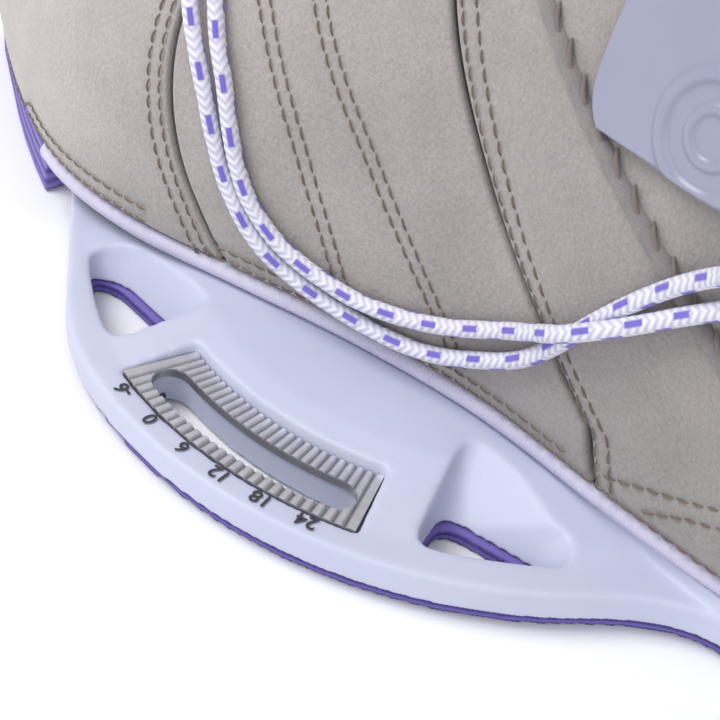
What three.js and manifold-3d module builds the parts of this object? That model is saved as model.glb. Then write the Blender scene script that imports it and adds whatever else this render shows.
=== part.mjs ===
// Right-foot lace-up wakeboard boot on its moulded mounting plate, in millimetres.
// +X runs from the toe to the heel, -Y is the inner (medial) side of the foot, +Z is up.
// The origin is the centre of the stance circle, on the underside of the pad.

import * as THREE from 'three';
import { mergeVertices } from 'three/addons/utils/BufferGeometryUtils.js';
import Module from 'manifold-3d';

const wasm = await Module();
wasm.setup();

// ---------------------------------------------------------------- driving dimensions

const clearance = 0.3;

const pad = { thickness: 3, inset: 1.5, bossClearance: 0.4 };
const plate = {
  rimThickness: 6, deckRise: 3, rimRadius: 88.5, rimFlatFrom: 82.5, deckFlatTo: 62,
  toeEnd: -80, heelEnd: 104, heelHalfWidth: 33, toeHalfWidth: 42,
};
const stance = { boltRadius: 76.2, slotHalfWidth: 3.7, slotFrom: -5, slotTo: 25 };
const insert = {
  innerRadius: 67.8, outerRadius: 82.8, endMargin: 4.5, thickness: 2,
  toothPitch: 1.5, toothDepth: 0.6, ledge: 0.7,
};
const sole = { boardThickness: 2.8, footbedThickness: 5, footbedMargin: 6.5, outsoleInset: 3 };
const screw = { radius: 2.4, headRadius: 4.8, headDepth: 2.6, barrelRadius: 3.6, flangeRadius: 8, flange: 1.2 };
const screwSpots = [[-55, -26], [-55, 26], [78, -17], [78, 17]];
const upper = { thickness: 3, linerGap: 1.4, linerThickness: 3.6, eyestayThickness: 1.6, badgeThickness: 2.4 };
const piping = { radius: 1.9, startX: -79 };
const lace = { radius: 1.6 };
const tongue = { halfWidth: 0.152, thickness: 6.2, tip: 19.7 };
const throat = { edge: 0.165, eyestayWidth: 0.085 };
const lock = {
  x: 7, z: 232, width: 16, height: 15, back: 3.8, front: 10.4, pocket: 11, wall: 1.2, travel: 2.6,
  channelDepth: 4.6, channelWidth: 8.4, laceSpread: 2, slideRoom: 22,
};
const badge = { x: 61, z: 91, halfLength: 23.5, halfHeight: 13.5, cornerCut: 0.16 };
const aglet = { radius: 1.9, length: 14 };
const heelPullPlace = [140.8, 0, 245];
const collar = { drop: 0.55, depthOut: -1.5, depthIn: 9 };
const pull = { width: 16, band: 2.2, height: 34, reach: 11 };

const rimTop = pad.thickness + plate.rimThickness;
const deckTop = rimTop + plate.deckRise;
const bootBottom = deckTop + clearance;

// Stations of the boot, from the toe tip round the heel to the top of the shaft. Each one is a
// slanted section: its top (front) point, its bottom (back) point, its inner and outer side,
// where between bottom and top it is widest, and how square its lower and upper halves are.
const stations = [
  { top: [-152, 33], bottom: [-152, 32], inner: -8, outer: -7, widest: 0.5, low: 2, high: 2 },
  { top: [-149, 47], bottom: [-149, 15], inner: -24, outer: 9, widest: 0.45, low: 3, high: 2.1 },
  { top: [-140, 55], bottom: [-140, 12.3], inner: -32, outer: 20, widest: 0.38, low: 5, high: 2.2 },
  { top: [-122, 62], bottom: [-122, 12.3], inner: -41, outer: 32, widest: 0.32, low: 7, high: 2.2 },
  { top: [-98, 68], bottom: [-98, 12.3], inner: -52, outer: 42, widest: 0.28, low: 9, high: 2.2 },
  { top: [-70, 76], bottom: [-70, 12.3], inner: -61, outer: 49, widest: 0.25, low: 9, high: 2.2 },
  { top: [-45, 87], bottom: [-45, 12.3], inner: -60, outer: 50, widest: 0.22, low: 9, high: 2.1 },
  { top: [-22, 101], bottom: [-20, 12.3], inner: -52, outer: 48, widest: 0.2, low: 9, high: 2 },
  { top: [-2, 115], bottom: [5, 12.3], inner: -44, outer: 43, widest: 0.2, low: 9, high: 1.9 },
  { top: [10, 126], bottom: [34, 12.3], inner: -38, outer: 39, widest: 0.22, low: 9, high: 1.9 },
  { top: [17, 135], bottom: [66, 12.3], inner: -37, outer: 37, widest: 0.25, low: 9, high: 1.9 },
  { top: [21, 142], bottom: [97, 12.3], inner: -36, outer: 36, widest: 0.3, low: 7, high: 1.9 },
  { top: [23.5, 147], bottom: [121, 12.7], inner: -35, outer: 35, widest: 0.35, low: 4, high: 1.9 },
  { top: [25, 152], bottom: [129, 30], inner: -35.5, outer: 35.5, widest: 0.38, low: 2.6, high: 1.9 },
  { top: [26, 158], bottom: [129, 58], inner: -38, outer: 38, widest: 0.42, low: 2.3, high: 1.9 },
  { top: [26.5, 168], bottom: [126, 95], inner: -40, outer: 40, widest: 0.46, low: 2.2, high: 2 },
  { top: [26.5, 182], bottom: [123, 135], inner: -42, outer: 42, widest: 0.5, low: 2.1, high: 2 },
  { top: [25, 205], bottom: [125, 180], inner: -44, outer: 44, widest: 0.5, low: 2.1, high: 2.1 },
  { top: [22, 235], bottom: [131, 225], inner: -48, outer: 48, widest: 0.5, low: 2.1, high: 2.1 },
  { top: [18, 262], bottom: [137, 262], inner: -51, outer: 51, widest: 0.5, low: 2.1, high: 2.1 },
  { top: [14, 288], bottom: [142, 296], inner: -53, outer: 53, widest: 0.5, low: 2.1, high: 2.1 },
];
const shaftTop = 19;

// Seams that run from the instep to the sole, as stations at the instep and at the sole edge.
const soleEdgeShare = 0.72;
const toeSeam = { atInstep: 5.95, between: 5.89, atSole: 7.05 };
const quarterSeam = { atInstep: 7.7, between: 8.6, atSole: 9.87 };
// The folded lower edge of the cuff, from the throat to the centre of the heel.
const cuffEdge = { atThroat: 8.05, atHeel: 14.1 };
const throatStart = 6;

const laceRows = [6.75, 7.7, 8.8, 15.6, 17.1];

// ---------------------------------------------------------------- colours

const material = (color, roughness, metalness = 0) =>
  new THREE.MeshStandardMaterial({ color, roughness, metalness });

const materials = {
  plate: material(0xdadcec, 0.45),
  foam: material(0x6a5aa0, 0.85),
  alloy: material(0xc4c4c8, 0.35, 1),
  steel: material(0x9a9ca0, 0.35, 1),
  suede: material(0xb5aca6, 0.92),
  piping: material(0xcfcbe0, 0.7),
  lace: material(0xe8e6ef, 0.75),
  badge: material(0x8e91b0, 0.4),
  liner: material(0x8a84a6, 0.9),
  board: material(0x8c8478, 0.8),
  webbing: material(0x7b6fb0, 0.8),
};

const boot = new THREE.Group();

function add(name, geometry, look) {
  const mesh = new THREE.Mesh(geometry, look);
  mesh.name = name;
  boot.add(mesh);
  return mesh;
}

// ---------------------------------------------------------------- solids

function toSolid(geometry) {
  const bare = geometry.clone();
  bare.deleteAttribute('normal');
  bare.deleteAttribute('uv');
  const merged = mergeVertices(bare, 1e-4);
  return new wasm.Manifold(new wasm.Mesh({
    numProp: 3,
    vertProperties: new Float32Array(merged.attributes.position.array),
    triVerts: new Uint32Array(merged.index.array),
  }));
}

function toGeometry(solid) {
  const mesh = solid.getMesh();
  const geometry = new THREE.BufferGeometry();
  const points = new Float32Array(mesh.numVert * 3);
  for (let i = 0; i < mesh.numVert; i += 1) {
    for (let k = 0; k < 3; k += 1) {
      points[3 * i + k] = mesh.vertProperties[mesh.numProp * i + k];
    }
  }
  geometry.setAttribute('position', new THREE.BufferAttribute(points, 3));
  geometry.setIndex(Array.from(mesh.triVerts));
  geometry.computeVertexNormals();
  return geometry;
}

function joined(...geometries) {
  return toGeometry(geometries.map(toSolid).reduce((sum, next) => sum.add(next)));
}

function cut(geometry, ...tools) {
  return toGeometry(tools.map(toSolid).reduce((rest, tool) => rest.subtract(tool), toSolid(geometry)));
}

function common(geometry, other) {
  return toGeometry(toSolid(geometry).intersect(toSolid(other)));
}

function prism(shape, from, to, curveSegments = 12) {
  const geometry = new THREE.ExtrudeGeometry(shape, {
    depth: to - from, bevelEnabled: false, curveSegments,
  });
  return geometry.translate(0, 0, from);
}

function box(low, high) {
  const geometry = new THREE.BoxGeometry(high[0] - low[0], high[1] - low[1], high[2] - low[2]);
  return geometry.translate((high[0] + low[0]) / 2, (high[1] + low[1]) / 2, (high[2] + low[2]) / 2);
}

function turned(profile, segments = 12) {
  const points = profile.map(([radius, height]) => new THREE.Vector2(radius, height));
  return new THREE.LatheGeometry(points, segments).rotateX(Math.PI / 2);
}

function tube(points, radius, steps, sides) {
  const section = new THREE.Shape();
  for (let i = 0; i < sides; i += 1) {
    const angle = (2 * Math.PI * i) / sides;
    const corner = [radius * Math.cos(angle), radius * Math.sin(angle)];
    if (i === 0) {
      section.moveTo(...corner);
    } else {
      section.lineTo(...corner);
    }
  }
  section.closePath();
  const path = new THREE.CatmullRomCurve3(points.map((p) => new THREE.Vector3(...p)), false, 'centripetal');
  return new THREE.ExtrudeGeometry(section, { steps, extrudePath: path, curveSegments: 1 });
}

// A closed solid between two loops of as many points, one above the other.
function frustum(lowLoop, highLoop, from, to) {
  const count = lowLoop.length;
  const positions = [];
  lowLoop.forEach(([x, y]) => positions.push(x, y, from));
  highLoop.forEach(([x, y]) => positions.push(x, y, to));
  const index = [];
  const cap = (loop) => THREE.ShapeUtils.triangulateShape(loop.map(([x, y]) => new THREE.Vector2(x, y)), []);
  cap(lowLoop).forEach(([a, b, c]) => index.push(a, c, b));
  cap(highLoop).forEach(([a, b, c]) => index.push(count + a, count + b, count + c));
  for (let i = 0; i < count; i += 1) {
    const next = (i + 1) % count;
    index.push(i, next, count + i, next, count + next, count + i);
  }
  const geometry = new THREE.BufferGeometry();
  geometry.setAttribute('position', new THREE.Float32BufferAttribute(positions, 3));
  geometry.setIndex(index);
  return geometry;
}

// Rounds each corner of a loop, with the same number of points per corner every time.
function roundedLoop(corners, radius, segments = 3) {
  const loop = [];
  corners.forEach((corner, i) => {
    const here = new THREE.Vector2(...corner);
    const before = new THREE.Vector2(...corners[(i + corners.length - 1) % corners.length]);
    const after = new THREE.Vector2(...corners[(i + 1) % corners.length]);
    const reach = Math.min(radius, before.distanceTo(here) * 0.45, after.distanceTo(here) * 0.45);
    const start = here.clone().add(before.sub(here).setLength(reach));
    const end = here.clone().add(after.sub(here).setLength(reach));
    const bend = new THREE.QuadraticBezierCurve(start, here, end);
    bend.getPoints(segments).forEach((p) => loop.push([p.x, p.y]));
  });
  return loop;
}

// ---------------------------------------------------------------- stance circle

// Angles on the stance circle run from the middle of the inner side towards the heel.
const onCircle = (radius, degrees) => {
  const angle = THREE.MathUtils.degToRad(degrees);
  return [radius * Math.sin(angle), -radius * Math.cos(angle)];
};
const compass = (degrees) => THREE.MathUtils.degToRad(degrees - 90);

function sector(innerRadius, outerRadius, from, to) {
  const shape = new THREE.Shape();
  shape.absarc(0, 0, outerRadius, compass(from), compass(to), false);
  shape.absarc(0, 0, innerRadius, compass(to), compass(from), true);
  shape.closePath();
  return shape;
}

function arcSlot(halfWidth) {
  const { boltRadius, slotFrom, slotTo } = stance;
  const endFrom = onCircle(boltRadius, slotFrom);
  const endTo = onCircle(boltRadius, slotTo);
  const shape = new THREE.Shape();
  shape.absarc(0, 0, boltRadius + halfWidth, compass(slotFrom), compass(slotTo), false);
  shape.absarc(...endTo, halfWidth, compass(slotTo), compass(slotTo) + Math.PI, false);
  shape.absarc(0, 0, boltRadius - halfWidth, compass(slotTo), compass(slotFrom), true);
  shape.absarc(...endFrom, halfWidth, compass(slotFrom) + Math.PI, compass(slotFrom) + 2 * Math.PI, false);
  shape.closePath();
  return shape;
}

const halfTurn = (geometry) => geometry.clone().rotateZ(Math.PI);
const insertFrom = stance.slotFrom - insert.endMargin;
const insertTo = stance.slotTo + insert.endMargin;

// ---------------------------------------------------------------- plate and pad

function plateOutline(inset = 0) {
  const radius = plate.rimRadius - inset;
  const heelSide = plate.heelHalfWidth - inset;
  const heelEnd = plate.heelEnd - inset;
  const toeEnd = plate.toeEnd + inset;
  const toeSide = plate.toeHalfWidth - inset;
  const leave = { innerToe: -13, outerToe: 36, heel: 57 };
  const along = new THREE.Vector2(Math.cos(THREE.MathUtils.degToRad(57)), Math.sin(THREE.MathUtils.degToRad(57)));
  const innerHeel = onCircle(radius, leave.heel);
  const bendX = innerHeel[0] + ((-heelSide - innerHeel[1]) / along.y) * along.x;
  const outline = new THREE.Shape();
  outline.moveTo(toeEnd, toeSide - 6);
  outline.lineTo(toeEnd, -toeSide);
  outline.quadraticCurveTo(toeEnd, -toeSide - 8, toeEnd + 9, -toeSide - 13 + inset * 0.2);
  outline.lineTo(-38 + inset * 0.5, -78 + inset);
  outline.quadraticCurveTo(-29, -84 + inset, ...onCircle(radius, leave.innerToe));
  outline.absarc(0, 0, radius, compass(leave.innerToe), compass(leave.heel), false);
  outline.quadraticCurveTo(bendX, -heelSide, bendX + 10, -heelSide);
  outline.lineTo(heelEnd - 10, -heelSide);
  outline.quadraticCurveTo(heelEnd, -heelSide, heelEnd, -heelSide + 10);
  outline.lineTo(heelEnd, heelSide - 10);
  outline.quadraticCurveTo(heelEnd, heelSide, heelEnd - 10, heelSide);
  outline.lineTo(bendX + 10, heelSide);
  outline.quadraticCurveTo(bendX, heelSide, innerHeel[0], -innerHeel[1]);
  outline.absarc(0, 0, radius, -compass(leave.heel), -compass(-leave.outerToe), false);
  outline.lineTo(toeEnd + 9, toeSide + 8 - inset * 0.3);
  outline.quadraticCurveTo(toeEnd, toeSide + 2, toeEnd, toeSide - 6);
  return outline;
}

// Each window has a bottom and a top loop: the wall on the boot's side leans out as it rises.
function windows(shrink = 0) {
  const outerRim = plate.rimFlatFrom - 0.9 - shrink;
  const rim = (from, to, count) => Array.from({ length: count }, (_, i) =>
    onCircle(outerRim, from + ((to - from) * i) / (count - 1)));
  const far = (points) => points.map(([x, y]) => [x, -y]).reverse();
  const toeSide = {
    bottom: [...rim(-35, -17, 4), [-23, -62.5 - shrink], [-41 - shrink, -62.5 - shrink]],
    top: [...rim(-37, -15, 4), [-18.5, -57], [-44.5, -57]],
    radius: 5,
  };
  const heelSide = {
    bottom: [...rim(36.5, 54, 4), [61, -47.4 - shrink], [42.6 + shrink, -52.2 - shrink]],
    top: [...rim(36, 56, 4), [65.5, -40.5], [34.5, -39.5]],
    radius: 6,
  };
  const outerHeelSide = {
    bottom: far([...rim(16, 51, 5), [58, -47.5 - shrink], [29 + shrink, -55 - shrink]]),
    top: far([...rim(15, 53, 5), [64, -42], [23, -45]]),
    radius: 6,
  };
  return [toeSide, heelSide, outerHeelSide];
}

const windowCutters = windows().map(({ bottom, top, radius }) => frustum(
  roundedLoop(bottom, radius * 0.7), roundedLoop(top, radius), pad.thickness - 0.1, deckTop + 0.1));

const bossShape = (extra) => sector(
  insert.innerRadius + 2 - extra, insert.outerRadius - 0.6 + extra,
  insertFrom + 1 - extra, insertTo - 1 + extra);

function makePlate() {
  const { rimFlatFrom, deckFlatTo, heelEnd } = plate;
  const low = pad.thickness;
  const mound = turned([
    [0, low], [heelEnd + 20, low], [heelEnd + 20, rimTop], [rimFlatFrom, rimTop],
    [deckFlatTo, deckTop], [0, deckTop],
  ], 72);
  const wing = common(mound, prism(plateOutline(), low - 1, deckTop + 1, 12));
  const underSole = box([plate.toeEnd + 1, -40, low + 1], [heelEnd - 1, 40, deckTop]);
  const slab = common(soleBlock(low + 1, deckTop), underSole);
  const pocket = prism(
    sector(insert.innerRadius - clearance, insert.outerRadius + clearance,
      insertFrom - clearance, insertTo + clearance),
    rimTop - insert.thickness - clearance, deckTop + 1, 12);
  const boss = prism(bossShape(0), clearance, low + 1, 12);
  const slot = prism(arcSlot(stance.slotHalfWidth + insert.ledge), -1, deckTop + 1, 10);
  const holes = screwSpots.map(([x, y]) => turned([
    [0, low - 0.1], [screw.headRadius + 3 * clearance, low - 0.1],
    [screw.barrelRadius + clearance, low + screw.headDepth + clearance],
    [screw.barrelRadius + clearance, deckTop + 0.1], [0, deckTop + 0.1],
  ]).translate(x, y, 0));
  const body = joined(wing, slab, boss, halfTurn(boss));
  return cut(body, pocket, halfTurn(pocket), slot, halfTurn(slot), ...windowCutters, ...holes);
}

function makePad() {
  const top = pad.thickness - clearance;
  const sheet = prism(plateOutline(pad.inset), 0, top, 8);
  const bossHole = prism(bossShape(pad.bossClearance), -1, pad.thickness, 8);
  const holes = windows(0.8).map(({ bottom, radius }) => {
    const loop = roundedLoop(bottom, radius * 0.7);
    return frustum(loop, loop, -1, pad.thickness);
  });
  const headHoles = screwSpots.map(([x, y]) => turned([
    [0, -1], [screw.headRadius + 1, -1], [screw.headRadius + 1, pad.thickness], [0, pad.thickness],
  ]).translate(x, y, 0));
  return cut(sheet, bossHole, halfTurn(bossHole), ...holes, ...headHoles);
}

function makeInsert() {
  const { innerRadius, outerRadius, thickness, toothPitch, toothDepth } = insert;
  const bottom = rimTop - thickness;
  const body = prism(sector(innerRadius, outerRadius, insertFrom, insertTo), bottom, rimTop, 8);
  const slot = prism(arcSlot(stance.slotHalfWidth), bottom - 1, rimTop + 1, 8);
  const grooves = [];
  const halfPitch = (outerRadius * THREE.MathUtils.degToRad(toothPitch)) / 2;
  for (let angle = insertFrom + toothPitch; angle < insertTo - toothPitch / 2; angle += toothPitch) {
    const groove = new THREE.Shape();
    groove.moveTo(-halfPitch * 0.75, 0.2);
    groove.lineTo(0, -toothDepth);
    groove.lineTo(halfPitch * 0.75, 0.2);
    groove.closePath();
    const length = outerRadius - innerRadius + 4;
    const cutter = new THREE.ExtrudeGeometry(groove, { depth: length, bevelEnabled: false });
    cutter.rotateX(Math.PI / 2);
    cutter.translate(0, -innerRadius + 2, rimTop);
    cutter.rotateZ(THREE.MathUtils.degToRad(angle));
    grooves.push(toSolid(cutter));
  }
  const teeth = grooves.reduce((all, next) => all.add(next));
  return toGeometry(toSolid(body).subtract(toSolid(slot)).subtract(teeth));
}

// ---------------------------------------------------------------- shape of the boot

const keys = ['topX', 'topZ', 'bottomX', 'bottomZ', 'inner', 'outer', 'widest', 'low', 'high'];
const stationValues = stations.map(({ top, bottom, inner, outer, widest, low, high }) =>
  [...top, ...bottom, inner, outer, widest, low, high]);

function stationAt(s) {
  const first = Math.max(0, Math.min(stationValues.length - 2, Math.floor(s)));
  const f = s - first;
  const pick = (i) => stationValues[Math.max(0, Math.min(stationValues.length - 1, i))];
  const [a, b, c, d] = [pick(first - 1), pick(first), pick(first + 1), pick(first + 2)];
  const blended = keys.map((_, k) => {
    const slopeIn = (c[k] - a[k]) / 2;
    const slopeOut = (d[k] - b[k]) / 2;
    const square = f * f;
    const cube = square * f;
    return (2 * cube - 3 * square + 1) * b[k] + (cube - 2 * square + f) * slopeIn
      + (-2 * cube + 3 * square) * c[k] + (cube - square) * slopeOut;
  });
  return Object.fromEntries(keys.map((key, k) => [key, blended[k]]));
}

const mix = THREE.MathUtils.lerp;

// The station whose sole line is at x.
function stationOfSole(x) {
  let low = 0;
  let high = 12;
  for (let i = 0; i < 30; i += 1) {
    const half = (low + high) / 2;
    if (stationAt(half).bottomX < x) {
      low = half;
    } else {
      high = half;
    }
  }
  return low;
}

// Half of a section as points with their distance along it, from the instep to the sole.
const sectionCache = new Map();
function halfSection(s, side) {
  const label = `${s.toFixed(4)}${side}`;
  if (!sectionCache.has(label)) {
    const at = stationAt(s);
    const middle = (at.inner + at.outer) / 2;
    const halfWidth = (at.outer - at.inner) / 2;
    const points = [];
    const steps = 160;
    for (let i = 0; i <= steps; i += 1) {
      const angle = (Math.PI * i) / steps;
      const square = i < steps / 2 ? at.high : at.low;
      const rise = Math.abs(Math.cos(angle)) ** (2 / square);
      const spread = Math.abs(Math.sin(angle)) ** (2 / square);
      const height = i < steps / 2 ? at.widest + (1 - at.widest) * rise : at.widest * (1 - rise);
      points.push(new THREE.Vector3(
        at.bottomX + (at.topX - at.bottomX) * height,
        middle + side * halfWidth * spread,
        at.bottomZ + (at.topZ - at.bottomZ) * height));
    }
    const lengths = [0];
    for (let i = 1; i <= steps; i += 1) {
      lengths.push(lengths[i - 1] + points[i].distanceTo(points[i - 1]));
    }
    sectionCache.set(label, { points, lengths });
  }
  return sectionCache.get(label);
}

// A point of the outer skin. Round the section t is 0 at the instep, -1 to 0 on the inner side,
// 0 to 1 on the outer side, and 1 (or -1) at the middle of the sole or of the back.
function skin(s, t) {
  const wrapped = t > 1 ? t - 2 : t;
  const { points, lengths } = halfSection(s, wrapped < 0 ? -1 : 1);
  const target = Math.abs(wrapped) * lengths[lengths.length - 1];
  let low = 0;
  let high = lengths.length - 1;
  while (high - low > 1) {
    const half = (low + high) >> 1;
    if (lengths[half] <= target) {
      low = half;
    } else {
      high = half;
    }
  }
  const share = (target - lengths[low]) / Math.max(1e-9, lengths[high] - lengths[low]);
  return points[low].clone().lerp(points[high], Math.min(1, share));
}

function outward(s, t) {
  const along = skin(s + 0.04, t).sub(skin(Math.max(0, s - 0.04), t));
  const around = skin(s, t + 0.015).sub(skin(s, t - 0.015));
  return along.cross(around).normalize();
}

const lifted = (s, t, height) => skin(s, t).addScaledVector(outward(s, t), height);

// The share t of a section, on one side, where the skin comes down to a height.
function shareAtHeight(s, side, height) {
  if (skin(s, side).z > height) {
    return 1;
  }
  let low = 0.3;
  let high = 1;
  for (let i = 0; i < 30; i += 1) {
    const half = (low + high) / 2;
    if (skin(s, side * half).z > height) {
      low = half;
    } else {
      high = half;
    }
  }
  return low;
}

// A sheet of the upper between two depths below the skin: place(u, v) gives its s and t.
function sheet(place, depthOut, depthIn, countU, countV) {
  const positions = [];
  [depthOut, depthIn].forEach((depth) => {
    for (let i = 0; i <= countU; i += 1) {
      for (let j = 0; j <= countV; j += 1) {
        const [s, t] = place(i / countU, j / countV);
        positions.push(...lifted(s, t, -depth).toArray());
      }
    }
  });
  const row = countV + 1;
  const layer = (countU + 1) * row;
  const index = [];
  const quad = (a, b, c, d) => index.push(a, b, c, a, c, d);
  for (let i = 0; i < countU; i += 1) {
    for (let j = 0; j < countV; j += 1) {
      const a = i * row + j;
      quad(a, a + row, a + row + 1, a + 1);
      quad(layer + a, layer + a + 1, layer + a + row + 1, layer + a + row);
    }
  }
  for (let i = 0; i < countU; i += 1) {
    const near = i * row;
    const far = i * row + countV;
    quad(near, layer + near, layer + near + row, near + row);
    quad(far, far + row, layer + far + row, layer + far);
  }
  for (let j = 0; j < countV; j += 1) {
    const near = j;
    const far = countU * row + j;
    quad(near, near + 1, layer + near + 1, layer + near);
    quad(far, layer + far, layer + far + 1, far + 1);
  }
  const geometry = new THREE.BufferGeometry();
  geometry.setAttribute('position', new THREE.Float32BufferAttribute(positions, 3));
  geometry.setIndex(index);
  const volume = toSolid(geometry).volume();
  if (volume < 0) {
    for (let i = 0; i < index.length; i += 3) {
      [index[i + 1], index[i + 2]] = [index[i + 2], index[i + 1]];
    }
    geometry.setIndex(index);
  }
  return geometry;
}

// The outline of the sole, drawn in from the widest line of the boot.
function soleLoop(inset, count = 22) {
  const toe = stations[0].bottom[0] + 2 + inset;
  const heelCentre = 94;
  const heelReach = stations[12].bottom[0] + 3 - inset - heelCentre;
  const xs = Array.from({ length: count }, (_, i) => mix(toe, heelCentre, (i / (count - 1)) ** 1.3));
  const side = (sign) => xs.map((x) => {
    const at = stationAt(stationOfSole(x));
    return [x, sign < 0 ? at.inner + inset * 0.95 : at.outer - inset * 0.95];
  });
  const inner = side(-1);
  const heelWidth = -inner[inner.length - 1][1];
  const heel = [-60, -36, -12, 12, 36, 60].map((degrees) => {
    const angle = THREE.MathUtils.degToRad(degrees);
    return [heelCentre + heelReach * Math.cos(angle), heelWidth * Math.sin(angle)];
  });
  return [...inner, ...heel, ...side(1).reverse()];
}

function loopShape(loop) {
  return new THREE.Shape(loop.map(([x, y]) => new THREE.Vector2(x, y)));
}

function soleBlock(from, to) {
  return prism(loopShape(soleLoop(3.5)), from, to, 1);
}

// ---------------------------------------------------------------- sole

function makeOutsole(from, to) {
  const block = prism(loopShape(soleLoop(sole.outsoleInset)), 0, deckTop, 1);
  return common(block, box([from, -90, -1], [to, 90, deckTop + 1]));
}

function nutHoles(top) {
  return screwSpots.map(([x, y]) => turned([
    [0, bootBottom - 1], [screw.barrelRadius + clearance, bootBottom - 1],
    [screw.barrelRadius + clearance, top - screw.flange - 2 * clearance],
    [screw.flangeRadius + clearance, top - screw.flange - 2 * clearance],
    [screw.flangeRadius + clearance, top + 1], [0, top + 1],
  ]).translate(x, y, 0));
}

const boardTop = bootBottom + sole.boardThickness;
const footbedBottom = bootBottom + upper.thickness + upper.linerGap + upper.linerThickness + 0.9;

// The closed line round the skin at a height, moved outwards (or, below 0, inwards).
function skinContour(height, moved, from, step) {
  const side = (sign) => {
    const points = [];
    for (let s = from; s <= 12.2; s += s < 11 ? step : step / 4) {
      const t = shareAtHeight(s, sign, height);
      if (t < 0.99) {
        const p = lifted(s, sign * t, moved);
        points.push([p.x, p.y]);
      }
    }
    return points;
  };
  return [...side(-1), ...side(1).reverse()];
}

function makeBoard() {
  const contour = skinContour(bootBottom + 1.2, -upper.thickness - 2, 1.3, 0.42);
  const board = prism(loopShape(contour), bootBottom, boardTop, 1);
  return cut(board, ...nutHoles(boardTop));
}

function makeFootbed() {
  const depth = upper.thickness + upper.linerGap + upper.linerThickness + sole.footbedMargin;
  const contour = skinContour(footbedBottom, -depth, 1.6, 0.5);
  return prism(loopShape(contour), footbedBottom, footbedBottom + sole.footbedThickness, 1);
}

function makeNut() {
  const { barrelRadius, flangeRadius, flange, radius } = screw;
  const top = boardTop - clearance;
  const bottom = pad.thickness + screw.headDepth + 2 * clearance;
  return turned([
    [radius + clearance, bottom], [barrelRadius, bottom], [barrelRadius, top - flange],
    [flangeRadius, top - flange], [flangeRadius, top], [radius + clearance, top],
    [radius + clearance, bottom],
  ]);
}

function makeScrew() {
  const { radius, headRadius, headDepth } = screw;
  const low = pad.thickness + clearance;
  const socket = 1.5;
  return turned([
    [0, low + 1.6], [socket, low + 1.6], [socket, low], [headRadius, low], [headRadius, low + 0.5],
    [radius, low + headDepth], [radius, boardTop - 1], [0, boardTop - 1],
  ]);
}

// The cord round the foot of the upper, from behind the toes round the heel and back.
function makePiping() {
  const height = bootBottom + piping.radius + 0.1;
  const route = skinContour(height, 0.5, 4.4, 0.35).filter(([x]) => x > piping.startX);
  return tube(route.map(([x, y]) => [x, y, height]), piping.radius, 66, 6);
}

// ---------------------------------------------------------------- upper

const upperEdge = (s) => {
  const x = stationAt(s).bottomX;
  return THREE.MathUtils.mapLinear(
    THREE.MathUtils.smoothstep(x, piping.startX - 12, piping.startX - 3), 0, 1,
    bootBottom + 1, bootBottom + 2 * piping.radius + 0.5);
};
const soleShare = (s, side) => Math.min(0.994, shareAtHeight(s, side, upperEdge(s)));
// A seam's station where it crosses share t of the section.
const seamAt = (seam, t) => {
  const along = (Math.abs(t) - throat.edge) / (soleEdgeShare - throat.edge);
  const f = Math.max(0, Math.min(1, along));
  return (1 - f) ** 2 * seam.atInstep + 2 * f * (1 - f) * seam.between + f * f * seam.atSole;
};
const cuffAt = (t) => mix(
  cuffEdge.atThroat, cuffEdge.atHeel, (Math.abs(t) - throat.edge) / (1 - throat.edge));
const cuffShare = (s) => Math.max(throat.edge, mix(
  throat.edge, 1, (s - cuffEdge.atThroat) / (cuffEdge.atHeel - cuffEdge.atThroat)));
const stationGap = 0.026;
const shareGap = 0.003;
const backShare = 0.996;

// Settles s and t where each depends on the other.
function settled(stationFor, shareFor, firstShare) {
  let t = firstShare;
  let s = stationFor(t);
  for (let i = 0; i < 8; i += 1) {
    t = shareFor(s);
    s = stationFor(t);
  }
  return [s, t];
}

function makeToePanel() {
  const place = (u, v) => {
    const sideways = 2 * v - 1;
    const side = sideways < 0 ? -1 : 1;
    const [s, t] = settled(
      (share) => mix(0.02, seamAt(toeSeam, share) - stationGap, u),
      (station) => soleShare(station, side) * Math.abs(sideways), 0.5);
    return [s, side * t];
  };
  return sheet(place, 0, upper.thickness, 10, 22);
}

function makeForefootPanel(side) {
  const place = (u, v) => {
    const [s, t] = settled(
      (share) => mix(seamAt(toeSeam, share) + stationGap, seamAt(quarterSeam, share) - stationGap, u),
      (station) => mix(throat.edge, soleShare(station, side), v), 0.5);
    return [s, side * t];
  };
  return sheet(place, 0, upper.thickness, 7, 12);
}

function makeQuarter(side) {
  const heelTop = cuffEdge.atHeel - 0.4;
  const place = (u, v) => {
    const [s, t] = settled(
      (share) => mix(seamAt(quarterSeam, share) + stationGap, heelTop, u),
      (station) => mix(cuffShare(station) + shareGap, soleShare(station, side), v), 0.5);
    return [s, side * t];
  };
  return sheet(place, 0, upper.thickness, 16, 13);
}

function makeCuff(side) {
  const place = (u, v) => {
    const t = mix(throat.edge, backShare, v);
    return [mix(cuffAt(t) + stationGap, shaftTop - collar.drop, u), side * t];
  };
  return sheet(place, 0, upper.thickness, 14, 9);
}

// A band of the upper on one side, or round the back where both shares are past the side.
function band(fromS, toS, fromT, toT, depthOut, depthIn, countS, countT) {
  const place = (u, v) => [mix(fromS, toS, u), mix(fromT, toT, v)];
  return sheet(place, depthOut, depthIn, countS, countT);
}

const linerOut = upper.thickness + upper.linerGap;
const linerIn = linerOut + upper.linerThickness;
const throatSide = throat.edge + 0.01;

function makeTongue() {
  return band(throatStart + 0.02, tongue.tip, -tongue.halfWidth, tongue.halfWidth,
    0.3, 0.3 + tongue.thickness, 20, 5);
}

const eyestayLift = 2 * clearance;

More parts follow.
